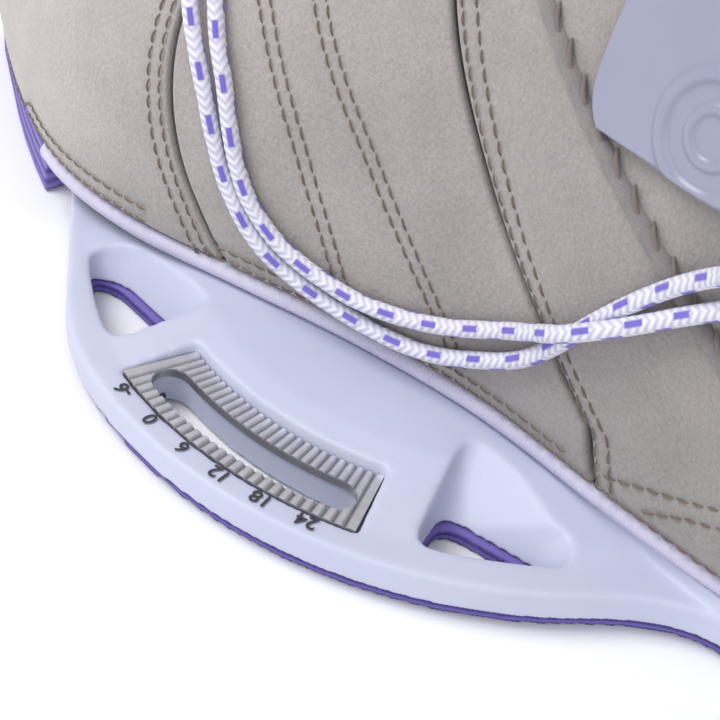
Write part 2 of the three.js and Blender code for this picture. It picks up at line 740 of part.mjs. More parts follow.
function makeEyestay(side) {
  const low = throat.edge + 0.006;
  return band(throatStart + 0.15, shaftTop - 0.6, side * low, side * (low + throat.eyestayWidth),
    -eyestayLift - upper.eyestayThickness, -eyestayLift, 18, 2);
}

// ---------------------------------------------------------------- lacing

const loopShare = throat.edge + 0.006 + throat.eyestayWidth / 2;
const loopBase = eyestayLift + upper.eyestayThickness + clearance;
const loopHole = { radius: lace.radius + 1.3, height: 4.2, length: 5, wall: 1.5 };

// The directions along and across the boot at a place on the skin, and away from it.
function skinFrame(s, t) {
  const up = outward(s, t);
  const along = skin(s + 0.05, t).sub(skin(s - 0.05, t)).normalize();
  const across = up.clone().cross(along).normalize();
  return { up, along: across.clone().cross(up).normalize(), across };
}

function makeLaceLoop(s, side) {
  const { radius, height, length, wall } = loopHole;
  const outline = new THREE.Shape();
  outline.moveTo(-radius - wall, 0);
  outline.lineTo(radius + wall, 0);
  outline.absarc(0, height, radius + wall, 0, Math.PI, false);
  outline.closePath();
  const hole = new THREE.Path();
  hole.absarc(0, height, radius, 0, 2 * Math.PI, true);
  outline.holes.push(hole);
  const loop = new THREE.ExtrudeGeometry(outline, { depth: length, bevelEnabled: false, curveSegments: 5 });
  loop.translate(0, 0, -length / 2);
  const { up, along, across } = skinFrame(s, side * loopShare);
  loop.applyMatrix4(new THREE.Matrix4().makeBasis(across, up, along));
  return loop.translate(...lifted(s, side * loopShare, loopBase + 0.2).toArray());
}

// One end of the lace, from the middle of the lowest row up to the lock.
function laceEnd(firstSide) {
  const points = [];
  laceRows.forEach((row, i) => {
    const side = firstSide * (i % 2 === 0 ? 1 : -1);
    const middle = lifted(row, side * loopShare, loopBase + 0.2 + loopHole.height);
    const { along } = skinFrame(row, side * loopShare);
    const reach = loopHole.length / 2 + 1.5;
    points.push(middle.clone().addScaledVector(along, -reach).toArray());
    points.push(middle.clone().addScaledVector(along, reach).toArray());
    if (i + 1 < laceRows.length) {
      const over = (i % 2 === 0) === (firstSide > 0) ? 3 * lace.radius : 0;
      points.push(lifted((row + laceRows[i + 1]) / 2, 0, 2.6 + over).toArray());
    }
  });
  const lastSide = firstSide * (laceRows.length % 2 === 1 ? 1 : -1);
  const y = lastSide * lock.laceSpread;
  points.push([lock.x + 1, y * 2.2, lock.z - lock.height / 2 - 7]);
  points.push([lock.x, y, lock.z - lock.height / 2 - 1]);
  points.push([lock.x, y, lock.z + lock.height / 2]);
  points.push([lock.x, y, lock.z + lock.height / 2 + lock.slideRoom]);
  return points;
}

function makeHeldLace() {
  const lowest = lifted(laceRows[0] - 0.42, 0, 2.4).toArray();
  const route = [...laceEnd(-1).reverse(), lowest, ...laceEnd(1)];
  return tube(route, lace.radius, 112, 6);
}

function makeLockBody() {
  const { width, height, back, front, channelDepth, channelWidth, wall, pocket } = lock;
  const body = box([-front, -width / 2, -height / 2], [back, width / 2, height / 2]);
  const channel = box([-channelDepth / 2, -channelWidth / 2, -height], [channelDepth / 2, channelWidth / 2, height]);
  const mouth = box([-front - 1, -pocket / 2, -pocket / 2], [-channelDepth / 2 - wall, pocket / 2, pocket / 2]);
  return cut(body, channel, mouth);
}

function makeLockButton() {
  const { front, pocket, travel } = lock;
  const side = pocket / 2 - clearance;
  return box([-front - travel, -side, -side], [-front + 2, side, side]);
}

function makeLockSpring() {
  const { front, channelDepth, wall } = lock;
  const from = -front + 2 + clearance + 0.3;
  const to = -channelDepth / 2 - wall - clearance - 0.3;
  const turns = 3;
  const steps = turns * 8;
  const points = Array.from({ length: steps + 1 }, (_, i) => {
    const angle = (2 * Math.PI * turns * i) / steps;
    return [mix(from, to, i / steps), 2.8 * Math.cos(angle), 2.8 * Math.sin(angle)];
  });
  return tube(points, 0.3, steps, 5);
}

// The free ends of the lace: out of the lock, over in front of the shaft, down across the vamp
// to the inner side, then low along it and up towards the heel. The second crosses under the
// first near its end.
const heldTop = lock.z + lock.height / 2 + lock.slideRoom;
const freeRoutes = {
  first: [
    [lock.x, lock.laceSpread, heldTop + clearance], [lock.x, 2, heldTop + 7], [-4, 1, 281],
    [-17, -1, 277], [-28, -4, 256], [-38, -8, 222], [-48, -13, 180], [-58, -17, 138],
    [-67, -20, 104], [-72, -23.5, 84.5], [-65, -31.5, 78.5], [-54, -39, 76.2], [-43, -46, 71.5],
    [-35.5, -50.7, 66], [-31, -52.8, 60], [-27.3, -53.6, 54.5], [-24.2, -54.1, 48],
    [-20.6, -54, 40.5], [-17, -53.3, 35], [-11.4, -51.5, 29.8], [-6, -49.7, 27.2],
    [0.7, -47.6, 25.6], [6.7, -45.8, 25], [15.5, -43.4, 26.2], [25.4, -41.4, 29.8],
    [37.3, -40, 36.6], [44, -41, 41.2], [49.5, -42.6, 45.4], [54.5, -42.3, 49.2],
    [60.5, -39.9, 53.6], [66.5, -38.8, 58.8], [71.8, -38.6, 63.4], [78.3, -38.8, 69],
  ],
  second: [
    [lock.x, -lock.laceSpread, heldTop + clearance], [lock.x, -2.4, heldTop + 7], [-4, -3.4, 281],
    [-17, -5.4, 277], [-28, -8.4, 256], [-38, -12.4, 222], [-48, -17, 180], [-58, -21.2, 138],
    [-69, -24, 104], [-76.3, -25.5, 85], [-70, -34, 78.5], [-57.7, -41.6, 75.4],
    [-46, -49.2, 70], [-38.9, -53.6, 64.2], [-34.3, -55.2, 58.6], [-30.7, -55.7, 53],
    [-27.6, -55.6, 46.5], [-24, -55, 38.8], [-20.1, -54.2, 33], [-14.3, -52.5, 27],
    [-8.4, -50.2, 23.6], [-2, -48.1, 21.7], [4.4, -46.1, 20.6], [14.2, -43.5, 20.4],
    [22.7, -41.5, 21.9], [32.9, -40.1, 27], [40.9, -39.5, 32.6], [46.4, -39.2, 38.9],
    [50.8, -39, 45.6], [55, -38.8, 51.6], [59.6, -38.7, 57.6], [64.5, -38.6, 63.3],
    [69.5, -39.4, 68.4], [73.8, -41.4, 72.6],
  ],
};

const makeFreeEnd = (route) => tube(route, lace.radius, 60, 8);

function makeAglet(route) {
  const end = new THREE.Vector3(...route[route.length - 1]);
  const along = end.clone().sub(new THREE.Vector3(...route[route.length - 2])).normalize();
  const from = end.clone().addScaledVector(along, clearance);
  const to = from.clone().addScaledVector(along, aglet.length);
  return tube([from.toArray(), to.toArray()], aglet.radius, 1, 10);
}

// ---------------------------------------------------------------- trim

// The station and share of the place on the skin, on one side, that has this x and z.
function placeOnSkin(x, z, side) {
  let s = 11;
  let t = 0.45;
  const step = 0.01;
  for (let i = 0; i < 12; i += 1) {
    const here = skin(s, side * t);
    const byS = skin(s + step, side * t).sub(here).divideScalar(step);
    const byT = skin(s, side * (t + step)).sub(here).divideScalar(step);
    const det = byS.x * byT.z - byT.x * byS.z;
    const dx = x - here.x;
    const dz = z - here.z;
    s += (dx * byT.z - dz * byT.x) / det;
    t += (dz * byS.x - dx * byS.z) / det;
  }
  return [s, side * t];
}

function makeBadge(side) {
  const place = (u, v) => {
    const rise = 2 * v - 1;
    const reach = 1 - badge.cornerCut * Math.abs(rise) ** 4;
    return placeOnSkin(
      badge.x + badge.halfLength * reach * (2 * u - 1), badge.z + badge.halfHeight * rise, side);
  };
  return sheet(place, -clearance - upper.badgeThickness, -clearance, 10, 6);
}

// A webbing loop that hangs from its upper end behind the shaft.
function makeHeelPull() {
  const { width, band: thick, height, reach } = pull;
  const outline = new THREE.Shape();
  const outer = reach / 2;
  outline.absarc(0, -outer, outer, 0, Math.PI, false);
  outline.absarc(0, -height + outer, outer, Math.PI, 2 * Math.PI, false);
  outline.closePath();
  const hole = new THREE.Path();
  hole.absarc(0, -outer, outer - thick, 0, Math.PI, false);
  hole.absarc(0, -height + outer, outer - thick, Math.PI, 2 * Math.PI, false);
  hole.closePath();
  outline.holes.push(hole);
  const loop = new THREE.ExtrudeGeometry(outline, { depth: width, bevelEnabled: false, curveSegments: 6 });
  loop.rotateX(Math.PI / 2);
  return loop.translate(0, width / 2, 0);
}

add('base_plate', makePlate(), materials.plate);
add('base_pad', makePad(), materials.foam);
add('slot_insert_inner', makeInsert(), materials.alloy);
add('slot_insert_outer', halfTurn(makeInsert()), materials.alloy);
add('toe_outsole', makeOutsole(-200, plate.toeEnd - clearance), materials.foam);
add('heel_outsole', makeOutsole(plate.heelEnd + clearance, 200), materials.foam);
add('lasting_board', makeBoard(), materials.board);
add('footbed', makeFootbed(), materials.foam);
screwSpots.forEach(([x, y], i) => {
  add(`sole_nut_${i + 1}`, makeNut(), materials.steel).position.set(x, y, 0);
  add(`sole_screw_${i + 1}`, makeScrew(), materials.steel).position.set(x, y, 0);
});
add('welt_piping', makePiping(), materials.piping);
add('toe_panel', makeToePanel(), materials.suede);
add('toe_liner', band(0.5, throatStart - 0.05, -0.992, 0.992, linerOut, linerIn, 8, 16), materials.liner);
add('ankle_liner', band(throatStart + 0.02, shaftTop - collar.drop, throatSide, 2 - throatSide,
  linerOut, linerIn, 16, 14), materials.liner);
add('collar', band(shaftTop - collar.drop + 0.02, shaftTop, throatSide, 2 - throatSide,
  collar.depthOut, collar.depthIn, 2, 18), materials.liner);
add('tongue', makeTongue(), materials.suede);
[['inner', -1], ['outer', 1]].forEach(([name, side]) => {
  add(`${name}_forefoot_panel`, makeForefootPanel(side), materials.suede);
  add(`${name}_quarter`, makeQuarter(side), materials.suede);
  add(`${name}_cuff`, makeCuff(side), materials.suede);
  add(`${name}_eyestay`, makeEyestay(side), materials.suede);
  add(`${name}_badge`, makeBadge(side), materials.badge);
  laceRows.forEach((row, i) => {
    add(`${name}_lace_loop_${i + 1}`, makeLaceLoop(row, side), materials.webbing);
  });
});
add('boot_lace', makeHeldLace(), materials.lace);
Object.entries(freeRoutes).forEach(([name, route]) => {
  add(`${name}_free_lace_end`, makeFreeEnd(route), materials.lace);
  add(`${name}_aglet`, makeAglet(route), materials.webbing);
});
const lockPlace = [lock.x, 0, lock.z];
add('lock_body', makeLockBody(), materials.webbing).position.set(...lockPlace);
add('lock_button', makeLockButton(), materials.piping).position.set(...lockPlace);
add('lock_spring', makeLockSpring(), materials.steel).position.set(...lockPlace);
add('heel_pull', makeHeelPull(), materials.webbing).position.set(...heelPullPlace);

export default boot;
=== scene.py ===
import math

import bmesh
import bpy
import numpy as np
from mathutils import Matrix, Vector


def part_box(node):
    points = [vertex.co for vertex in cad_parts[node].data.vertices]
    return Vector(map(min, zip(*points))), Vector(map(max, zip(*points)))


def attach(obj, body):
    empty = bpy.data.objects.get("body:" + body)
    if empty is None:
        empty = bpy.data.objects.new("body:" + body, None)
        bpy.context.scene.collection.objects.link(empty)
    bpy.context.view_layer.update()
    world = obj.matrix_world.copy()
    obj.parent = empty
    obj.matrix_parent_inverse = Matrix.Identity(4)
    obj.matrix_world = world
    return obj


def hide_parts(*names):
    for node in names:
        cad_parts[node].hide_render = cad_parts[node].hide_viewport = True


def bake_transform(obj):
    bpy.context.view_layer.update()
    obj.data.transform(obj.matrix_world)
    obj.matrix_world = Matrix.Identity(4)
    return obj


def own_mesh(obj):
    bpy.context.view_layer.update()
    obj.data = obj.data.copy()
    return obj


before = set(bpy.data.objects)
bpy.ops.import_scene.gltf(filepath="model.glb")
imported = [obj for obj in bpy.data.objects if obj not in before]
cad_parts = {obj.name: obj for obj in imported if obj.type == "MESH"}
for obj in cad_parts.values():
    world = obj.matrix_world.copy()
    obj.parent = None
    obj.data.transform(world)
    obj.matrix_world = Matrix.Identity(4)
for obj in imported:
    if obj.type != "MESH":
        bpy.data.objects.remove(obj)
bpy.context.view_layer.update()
mm = 0.001
coarse = 1.0


def added(name, data):
    made = bpy.data.objects.new(name, data)
    bpy.context.scene.collection.objects.link(made)
    return made


# Camera

cameraPlace = {
    "location": (171.452, -222.395, 203.207),
    "right": (0.64827, 0.74733, 0.14578),
    "up": (-0.549077, 0.326194, 0.769488),
    "forward": (-0.527506, 0.578880, -0.621801),
    "lens": 82.22,
}


def makeCamera(place):
    data = bpy.data.cameras.new("camera")
    data.lens = place["lens"]
    data.sensor_width = 36
    data.clip_start = 0.01
    camera = added("camera", data)
    back = [-value for value in place["forward"]]
    turn = Matrix([place["right"], place["up"], back]).transposed().to_4x4()
    camera.matrix_world = Matrix.Translation(Vector(place["location"]) * mm) @ turn
    bpy.context.scene.camera = camera


makeCamera(cameraPlace)
print("camera in place")


# Node materials

def srgb(red, green, blue):
    def linear(value):
        value /= 255
        return value / 12.92 if value <= 0.04045 else ((value + 0.055) / 1.055) ** 2.4

    return (linear(red), linear(green), linear(blue), 1.0)


class Look:
    def __init__(self, name):
        self.material = bpy.data.materials.new(name)
        self.material.use_nodes = True
        self.tree = self.material.node_tree
        self.shader = self.tree.nodes["Principled BSDF"]
        coordinates = self.tree.nodes.new("ShaderNodeTexCoord")
        self.place = coordinates.outputs["Object"]

    def node(self, kind, inputs, **settings):
        made = self.tree.nodes.new("ShaderNode" + kind)
        for key, value in settings.items():
            setattr(made, key, value)
        for key, value in inputs.items():
            self.put(made.inputs[key], value)
        return made

    def put(self, socket, value):
        if isinstance(value, bpy.types.NodeSocket):
            self.tree.links.new(value, socket)
        else:
            socket.default_value = value

    def noise(self, scale, detail=3.0, rough=0.55):
        return self.node("TexNoise", {
            "Vector": self.place, "Scale": scale, "Detail": detail, "Roughness": rough,
        }).outputs[0]

    def cells(self, scale):
        return self.node("TexVoronoi", {"Vector": self.place, "Scale": scale}).outputs["Distance"]

    def bands(self, scale, axis="Z", distortion=0.0):
        return self.node("TexWave", {
            "Vector": self.place, "Scale": scale, "Distortion": distortion,
        }, bands_direction=axis).outputs[1]

    def value(self, name):
        return self.node("Attribute", {}, attribute_name=name).outputs["Fac"]

    def sum(self, a, b, share=1.0):
        scaled = self.node("Math", {0: b, 1: share}, operation="MULTIPLY").outputs[0]
        return self.node("Math", {0: a, 1: scaled}, operation="ADD").outputs[0]

    def ranged(self, value, low, high, toLow=0.0, toHigh=1.0):
        return self.node("MapRange", {
            "Value": value, "From Min": low, "From Max": high, "To Min": toLow, "To Max": toHigh,
        }).outputs[0]

    def tint(self, share, first, second):
        made = self.tree.nodes.new("ShaderNodeMix")
        made.data_type = "RGBA"
        self.put(made.inputs[0], share)
        self.put(made.inputs[6], first)
        self.put(made.inputs[7], second)
        return made.outputs[2]

    def finish(self, colour, roughness, height=None, depth=0.0, **others):
        self.put(self.shader.inputs["Base Color"], colour)
        self.put(self.shader.inputs["Roughness"], roughness)
        if height is not None:
            bump = self.node("Bump", {"Height": height, "Distance": depth, "Strength": 1.0})
            self.put(self.shader.inputs["Normal"], bump.outputs[0])
        for key, value in others.items():
            self.put(self.shader.inputs[key.replace("_", " ")], value)
        return self.material


def suedeLook(name, front, back, fine, depth):
    look = Look(name)
    # Painted shade: the colour runs from the front colour at the toe to the darker back colour at the heel, a
    # painted light falloff along X; the blotches and grain below are the suede's own mottle.
    shadeFalloffX = look.node("SeparateXYZ", {0: look.place}).outputs[0]
    share = look.ranged(shadeFalloffX, -0.12, 0.09)
    base = look.tint(share, front, back)
    blotch = look.ranged(look.noise(45, 4), 0.35, 0.68)
    darker = look.node("HueSaturation", {"Color": base, "Value": 0.84}).outputs[0]
    mottled = look.tint(blotch, darker, base)
    grain = look.noise(fine, 5, 0.7)
    speck = look.ranged(grain, 0.36, 0.62)
    deeper = look.node("HueSaturation", {"Color": mottled, "Value": 0.8}).outputs[0]
    height = look.sum(grain, look.cells(fine * 0.7), 0.6)
    return look.finish(look.tint(speck, deeper, mottled), 0.93, height, depth,
                       Sheen_Weight=0.25, Sheen_Roughness=0.6)


def plasticLook(name, first, second, roughness, scale=900, depth=0.00004, **others):
    look = Look(name)
    share = look.ranged(look.noise(30, 3), 0.35, 0.7)
    return look.finish(look.tint(share, first, second), roughness,
                       look.noise(scale, 2), depth, **others)


def foamLook(name, first, second, layer, depth, roughness=0.8):
    look = Look(name)
    stripes = look.bands(layer, "Z", 0.4)
    cells = look.cells(1100)
    share = look.ranged(look.sum(stripes, cells, 0.4), 0.2, 1.1)
    return look.finish(look.tint(share, first, second), roughness,
                       look.sum(stripes, cells, 0.35), depth)


def wovenLook(name, first, second, scale, depth, roughness=0.85, **others):
    look = Look(name)
    across = look.bands(scale, "X", 0.3)
    upward = look.bands(scale, "Z", 0.3)
    weave = look.node("Math", {0: across, 1: upward}, operation="MULTIPLY").outputs[0]
    soft = look.sum(weave, look.noise(scale * 3, 2), 0.3)
    return look.finish(look.tint(look.ranged(weave, 0.1, 0.8), first, second), roughness, soft, depth,
                       Sheen_Weight=0.15, **others)


def metalLook(name, colour, second, roughness, streak, grooveShadeBand=None):
    look = Look(name)
    share = look.ranged(look.noise(streak, 4), 0.3, 0.7)
    base = look.tint(share, colour, second)
    # Painted shade: below the band's top the colour darkens towards deep, painting shade into the insert's
    # grooves.
    if grooveShadeBand:
        height = look.node("SeparateXYZ", {0: look.place}).outputs[2]
        deep = look.node("HueSaturation", {"Color": base, "Value": 0.42}).outputs[0]
        base = look.tint(look.ranged(height, *grooveShadeBand), deep, base)
    return look.finish(base, look.ranged(share, 0, 1, roughness, roughness + 0.14),
                       look.noise(streak * 2, 3), 0.00002, Metallic=0.8)


def cordLook(name, base, shade, fleck, roughness):
    look = Look(name)
    # Painted shade: the strand mask darkens the valleys between braid strands to the shade colour; the flecks
    # are the cord's own coloured yarn.
    strand = look.value("strand")
    strandShadedWhite = look.tint(strand, shade, base)
    return look.finish(look.tint(look.value("fleck"), strandShadedWhite, fleck), roughness,
                       look.noise(2600, 2), 0.00003, Sheen_Weight=0.2)


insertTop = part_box("slot_insert_inner")[1].z
looks = {
    "plate": plasticLook("platePlastic", srgb(200, 203, 224), srgb(194, 198, 220), 0.45, 1400, 0.00003,
                         Specular_IOR_Level=0.4),
    "pad": foamLook("padFoam", srgb(72, 58, 132), srgb(118, 104, 180), 190, 0.00025),
    "outsole": foamLook("outsoleFoam", srgb(92, 78, 150), srgb(138, 126, 192), 120, 0.00015),
    "footbed": foamLook("footbedFoam", srgb(150, 145, 168), srgb(180, 176, 198), 60, 0.0001),
    # alloy: the height band is where painted shade darkens the insert's grooves
    "alloy": metalLook("insertAlloy", srgb(240, 240, 244), srgb(214, 214, 220), 0.3, 260,
                       (insertTop - 0.0006, insertTop - 0.00005)),
    "steel": metalLook("screwSteel", srgb(176, 178, 184), srgb(140, 142, 150), 0.3, 400),
    # suede and suedeEdge: the second colour is the darker end of the painted shade falloff towards the heel
    "suede": suedeLook("suede", srgb(198, 190, 185), srgb(154, 147, 145), 1500, 0.00022),
    "edge": suedeLook("suedeEdge", srgb(176, 168, 165), srgb(126, 119, 121), 1900, 0.00015),
    "piping": plasticLook("pipingFabric", srgb(212, 208, 228), srgb(196, 192, 216), 0.6, 2400, 0.00003),
    # lace: the second colour is the painted shade between braid strands
    "lace": cordLook("laceCord", srgb(236, 234, 243), srgb(186, 183, 205), srgb(112, 100, 190), 0.75),
    "thread": wovenLook("thread", srgb(104, 90, 78), srgb(138, 122, 108), 1500, 0.00004, 0.7),
    "bigThread": wovenLook("heavyThread", srgb(112, 100, 96), srgb(140, 128, 124), 1300, 0.00005, 0.7),
    "badge": plasticLook("badgePlastic", srgb(166, 168, 192), srgb(156, 159, 186), 0.3, 700, 0.00003,
                         Transmission_Weight=0.25, Coat_Weight=0.3, Coat_Roughness=0.25),
    "liner": wovenLook("linerFabric", srgb(120, 116, 134), srgb(160, 156, 172), 330, 0.0001),
    "collar": wovenLook("collarFabric", srgb(150, 145, 160), srgb(184, 180, 194), 380, 0.0001),
    "tongue": wovenLook("tongueFabric", srgb(158, 154, 168), srgb(178, 174, 187), 520, 0.00007),
    "board": wovenLook("insoleBoard", srgb(168, 158, 140), srgb(186, 176, 158), 200, 0.00005),
    "webbing": wovenLook("webbing", srgb(128, 122, 142), srgb(168, 163, 182), 520, 0.00018),
    "lock": plasticLook("lockPlastic", srgb(104, 100, 118), srgb(92, 88, 106), 0.42),
    "button": plasticLook("buttonPlastic", srgb(176, 172, 200), srgb(166, 162, 192), 0.36),
    "aglet": plasticLook("agletPlastic", srgb(226, 226, 236), srgb(212, 212, 226), 0.22, 600, 0.00002,
                         Transmission_Weight=0.2),
    "ink": plasticLook("numberInk", srgb(52, 52, 58), srgb(62, 62, 68), 0.5),
}
print("materials made")


# The upper's skin as a table over its stations and shares

stationRows = np.array([
    [-152, 33, -152, 32, -8, -7, 0.5, 2, 2],
    [-149, 47, -149, 15, -24, 9, 0.45, 3, 2.1],
    [-140, 55, -140, 12.3, -32, 20, 0.38, 5, 2.2],
    [-122, 62, -122, 12.3, -41, 32, 0.32, 7, 2.2],
    [-98, 68, -98, 12.3, -52, 42, 0.28, 9, 2.2],
    [-70, 76, -70, 12.3, -61, 49, 0.25, 9, 2.2],
    [-45, 87, -45, 12.3, -60, 50, 0.22, 9, 2.1],
    [-22, 101, -20, 12.3, -52, 48, 0.2, 9, 2],
    [-2, 115, 5, 12.3, -44, 43, 0.2, 9, 1.9],
    [10, 126, 34, 12.3, -38, 39, 0.22, 9, 1.9],
    [17, 135, 66, 12.3, -37, 37, 0.25, 9, 1.9],
    [21, 142, 97, 12.3, -36, 36, 0.3, 7, 1.9],
    [23.5, 147, 121, 12.7, -35, 35, 0.35, 4, 1.9],
    [25, 152, 129, 30, -35.5, 35.5, 0.38, 2.6, 1.9],
    [26, 158, 129, 58, -38, 38, 0.42, 2.3, 1.9],
    [26.5, 168, 126, 95, -40, 40, 0.46, 2.2, 2],
    [26.5, 182, 123, 135, -42, 42, 0.5, 2.1, 2],
    [25, 205, 125, 180, -44, 44, 0.5, 2.1, 2.1],
    [22, 235, 131, 225, -48, 48, 0.5, 2.1, 2.1],
    [18, 262, 137, 262, -51, 51, 0.5, 2.1, 2.1],
    [14, 288, 142, 296, -53, 53, 0.5, 2.1, 2.1],
])
stationRows[:, :6] *= mm
table = {"stationStep": 0.025, "shareStep": 0.005, "angles": 161}
shoe = {
    "bottom": 12.3, "pipingRadius": 1.9, "pipingStart": -79, "edge": 0.165, "eyestay": 0.085,
    "shaftTop": 19, "collarDrop": 0.55, "stationGap": 0.026, "backShare": 0.996, "lastShare": 0.994,
}
seams = {"toe": (5.95, 5.89, 7.05), "quarter": (7.7, 8.6, 9.87), "soleShare": 0.72, "cuff": (8.05, 14.1)}


def stationAt(s):
    s = np.asarray(s, float)
    first = np.clip(np.floor(s).astype(int), 0, len(stationRows) - 2)
    f = (s - first)[..., None]
    a, b, c, d = (stationRows[np.clip(first + k, 0, len(stationRows) - 1)] for k in (-1, 0, 1, 2))
    return ((2 * f**3 - 3 * f**2 + 1) * b + (f**3 - 2 * f**2 + f) * (c - a) / 2
            + (3 * f**2 - 2 * f**3) * c + (f**3 - f**2) * (d - b) / 2)


def makeTable():
    stations = np.arange(0, 20 + 1e-9, table["stationStep"])
    shares = np.arange(0, 1 + 1e-9, table["shareStep"])
    count = table["angles"]
    angle = np.pi * np.arange(count) / (count - 1)
    upperHalf = np.arange(count) < count // 2
    places = np.zeros((len(stations), 2 * len(shares) - 1, 3))
    for i, row in enumerate(stationAt(stations)):
        topX, topZ, bottomX, bottomZ, inner, outer, widest, low, high = row
        square = np.where(upperHalf, high, low)
        rise = np.abs(np.cos(angle)) ** (2 / square)
        spread = np.abs(np.sin(angle)) ** (2 / square)
        height = np.where(upperHalf, widest + (1 - widest) * rise, widest * (1 - rise))
        for side in (-1, 1):
            section = np.stack([
                bottomX + (topX - bottomX) * height,
                (inner + outer) / 2 + side * (outer - inner) / 2 * spread,
                bottomZ + (topZ - bottomZ) * height], 1)
            run = np.concatenate([[0], np.cumsum(np.linalg.norm(np.diff(section, axis=0), axis=1))])
            even = np.stack([np.interp(shares * run[-1], run, section[:, k]) for k in range(3)], 1)
            if side < 0:
                places[i, :len(shares)] = even[::-1]
            else:
                places[i, len(shares) - 1:] = even
    along = np.gradient(places, axis=0) / table["stationStep"]
    around = np.gradient(places, axis=1) / table["shareStep"]
    out = np.cross(along, around)
    out /= np.linalg.norm(out, axis=2, keepdims=True) + 1e-12
    return stations, places, out, np.linalg.norm(along, axis=2), np.linalg.norm(around, axis=2)


stationList, skinPlaces, skinOut, alongSize, aroundSize = makeTable()


def lookUp(grid, s, t):
    t = np.asarray(t, float)
    t = np.where(t > 1, t - 2, t)
    i = np.clip(np.asarray(s, float) / table["stationStep"], 0, grid.shape[0] - 1.0001)
    j = np.clip((t + 1) / table["shareStep"], 0, grid.shape[1] - 1.0001)
    i, j = np.broadcast_arrays(i, j)
    i0, j0 = i.astype(int), j.astype(int)
    fi, fj = i - i0, j - j0
    if grid.ndim == 3:
        fi, fj = fi[..., None], fj[..., None]
    return ((grid[i0, j0] * (1 - fj) + grid[i0, j0 + 1] * fj) * (1 - fi)
            + (grid[i0 + 1, j0] * (1 - fj) + grid[i0 + 1, j0 + 1] * fj) * fi)


def skin(s, t):
    out = lookUp(skinOut, s, t)
    out = out / (np.linalg.norm(out, axis=-1, keepdims=True) + 1e-12)
    return lookUp(skinPlaces, s, t), out


def lifted(s, t, height):
    place, out = skin(s, t)
    return place + out * np.asarray(height)[..., None] if np.ndim(height) else place + out * height


def upperEdge(s):
    x = stationAt(s)[..., 2] / mm
    f = np.clip((x - shoe["pipingStart"] + 12) / 9, 0, 1)
    f = f * f * (3 - 2 * f)
    low = shoe["bottom"] + 1
    high = shoe["bottom"] + 2 * shoe["pipingRadius"] + 0.5
    return (low + f * (high - low)) * mm


def makeSoleShares():
    found = {}
    half = int(round(1 / table["shareStep"]))
    edge = upperEdge(stationList)
    for side in (-1, 1):
        values = []
        for i in range(len(stationList)):
            heights = skinPlaces[i, half:, 2] if side > 0 else skinPlaces[i, half::-1, 2]
            if heights[-1] > edge[i]:
                values.append(1.0)
                continue
            start = int(0.3 / table["shareStep"])
            below = np.nonzero(heights[start:] <= edge[i])[0][0] + start
            step = heights[below - 1] - heights[below]
            share = (heights[below - 1] - edge[i]) / max(step, 1e-9)
            values.append((below - 1 + min(1, max(0, share))) * table["shareStep"])
        found[side] = np.minimum(shoe["lastShare"], np.array(values))
    return found


soleShares = makeSoleShares()


def soleShare(s, side):
    return np.interp(s, stationList, soleShares[side])


def seamAt(seam, t):
    f = np.clip((np.abs(t) - shoe["edge"]) / (seams["soleShare"] - shoe["edge"]), 0, 1)
    a, b, c = seams[seam]
    return (1 - f) ** 2 * a + 2 * f * (1 - f) * b + f * f * c


def cuffAt(t):
    low, high = seams["cuff"]
    return low + (high - low) * (np.abs(t) - shoe["edge"]) / (1 - shoe["edge"])


def cuffShare(s):
    low, high = seams["cuff"]
    return np.maximum(shoe["edge"], shoe["edge"] + (1 - shoe["edge"]) * (s - low) / (high - low))


def settled(stationFor, shareFor, shape):
    t = np.full(shape, 0.5)
    s = stationFor(t)
    for _ in range(8):
        t = shareFor(s)
        s = stationFor(t)
    return s, t


def moveAlong(s, t, distance):
    return s + distance / np.maximum(lookUp(alongSize, s, t), 1e-4)


print("skin table made")


# Meshes

def link(made, look, body, nodes=()):
    if made.data.materials:
        made.data.materials.clear()
    made.data.materials.append(looks[look])
    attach(made, body)
    if nodes:
        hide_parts(*nodes)
    return made


def newMesh(name, points, faces, values=None):
    data = bpy.data.meshes.new(name)
    data.from_pydata(points.reshape(-1, 3).tolist(), [], faces)
    for key, amounts in (values or {}).items():
        attribute = data.attributes.new(key, "FLOAT", "POINT")
        attribute.data.foreach_set("value", np.asarray(amounts, np.float32).ravel())
    data.shade_smooth()
    return added(name, data)


def gridFaces(rows, columns, start=0, closed=False):
    i = np.arange(rows - 1)[:, None]
    j = np.arange(columns if closed else columns - 1)[None, :]
    after = (j + 1) % columns
    a = start + i * columns + j
    b = start + i * columns + after
    c = start + (i + 1) * columns + after
    d = start + (i + 1) * columns + j
    return np.stack(np.broadcast_arrays(a, d, c, b), -1).reshape(-1, 4)


def tubeFaces(rings, sides):
    faces = gridFaces(rings, sides, 0, True)[:, ::-1].tolist()
    faces.append(list(range(sides)))
    faces.append([(rings - 1) * sides + k for k in range(sides)][::-1])
    return faces


def spaced(count, length, radius):
    near = np.array([0, 0.08, 0.2, 0.38, 0.62, 0.95]) * radius / max(length, 4 * radius)
    middle = np.linspace(near[-1], 1 - near[-1], max(3, int(count / coarse)))
    return np.concatenate([near[:-1], middle, 1 - near[:-1][::-1]])


def rounded(distance, radius):
    inside = np.clip(radius - distance, 0, radius)
    return -(radius - np.sqrt(np.maximum(radius**2 - inside**2, 0)))


def runs(places, axis):
    steps = np.linalg.norm(np.diff(places, axis=axis), axis=2)
    zero = np.zeros_like(np.take(steps, [0], axis))
    return np.concatenate([zero, np.cumsum(steps, axis)], axis)


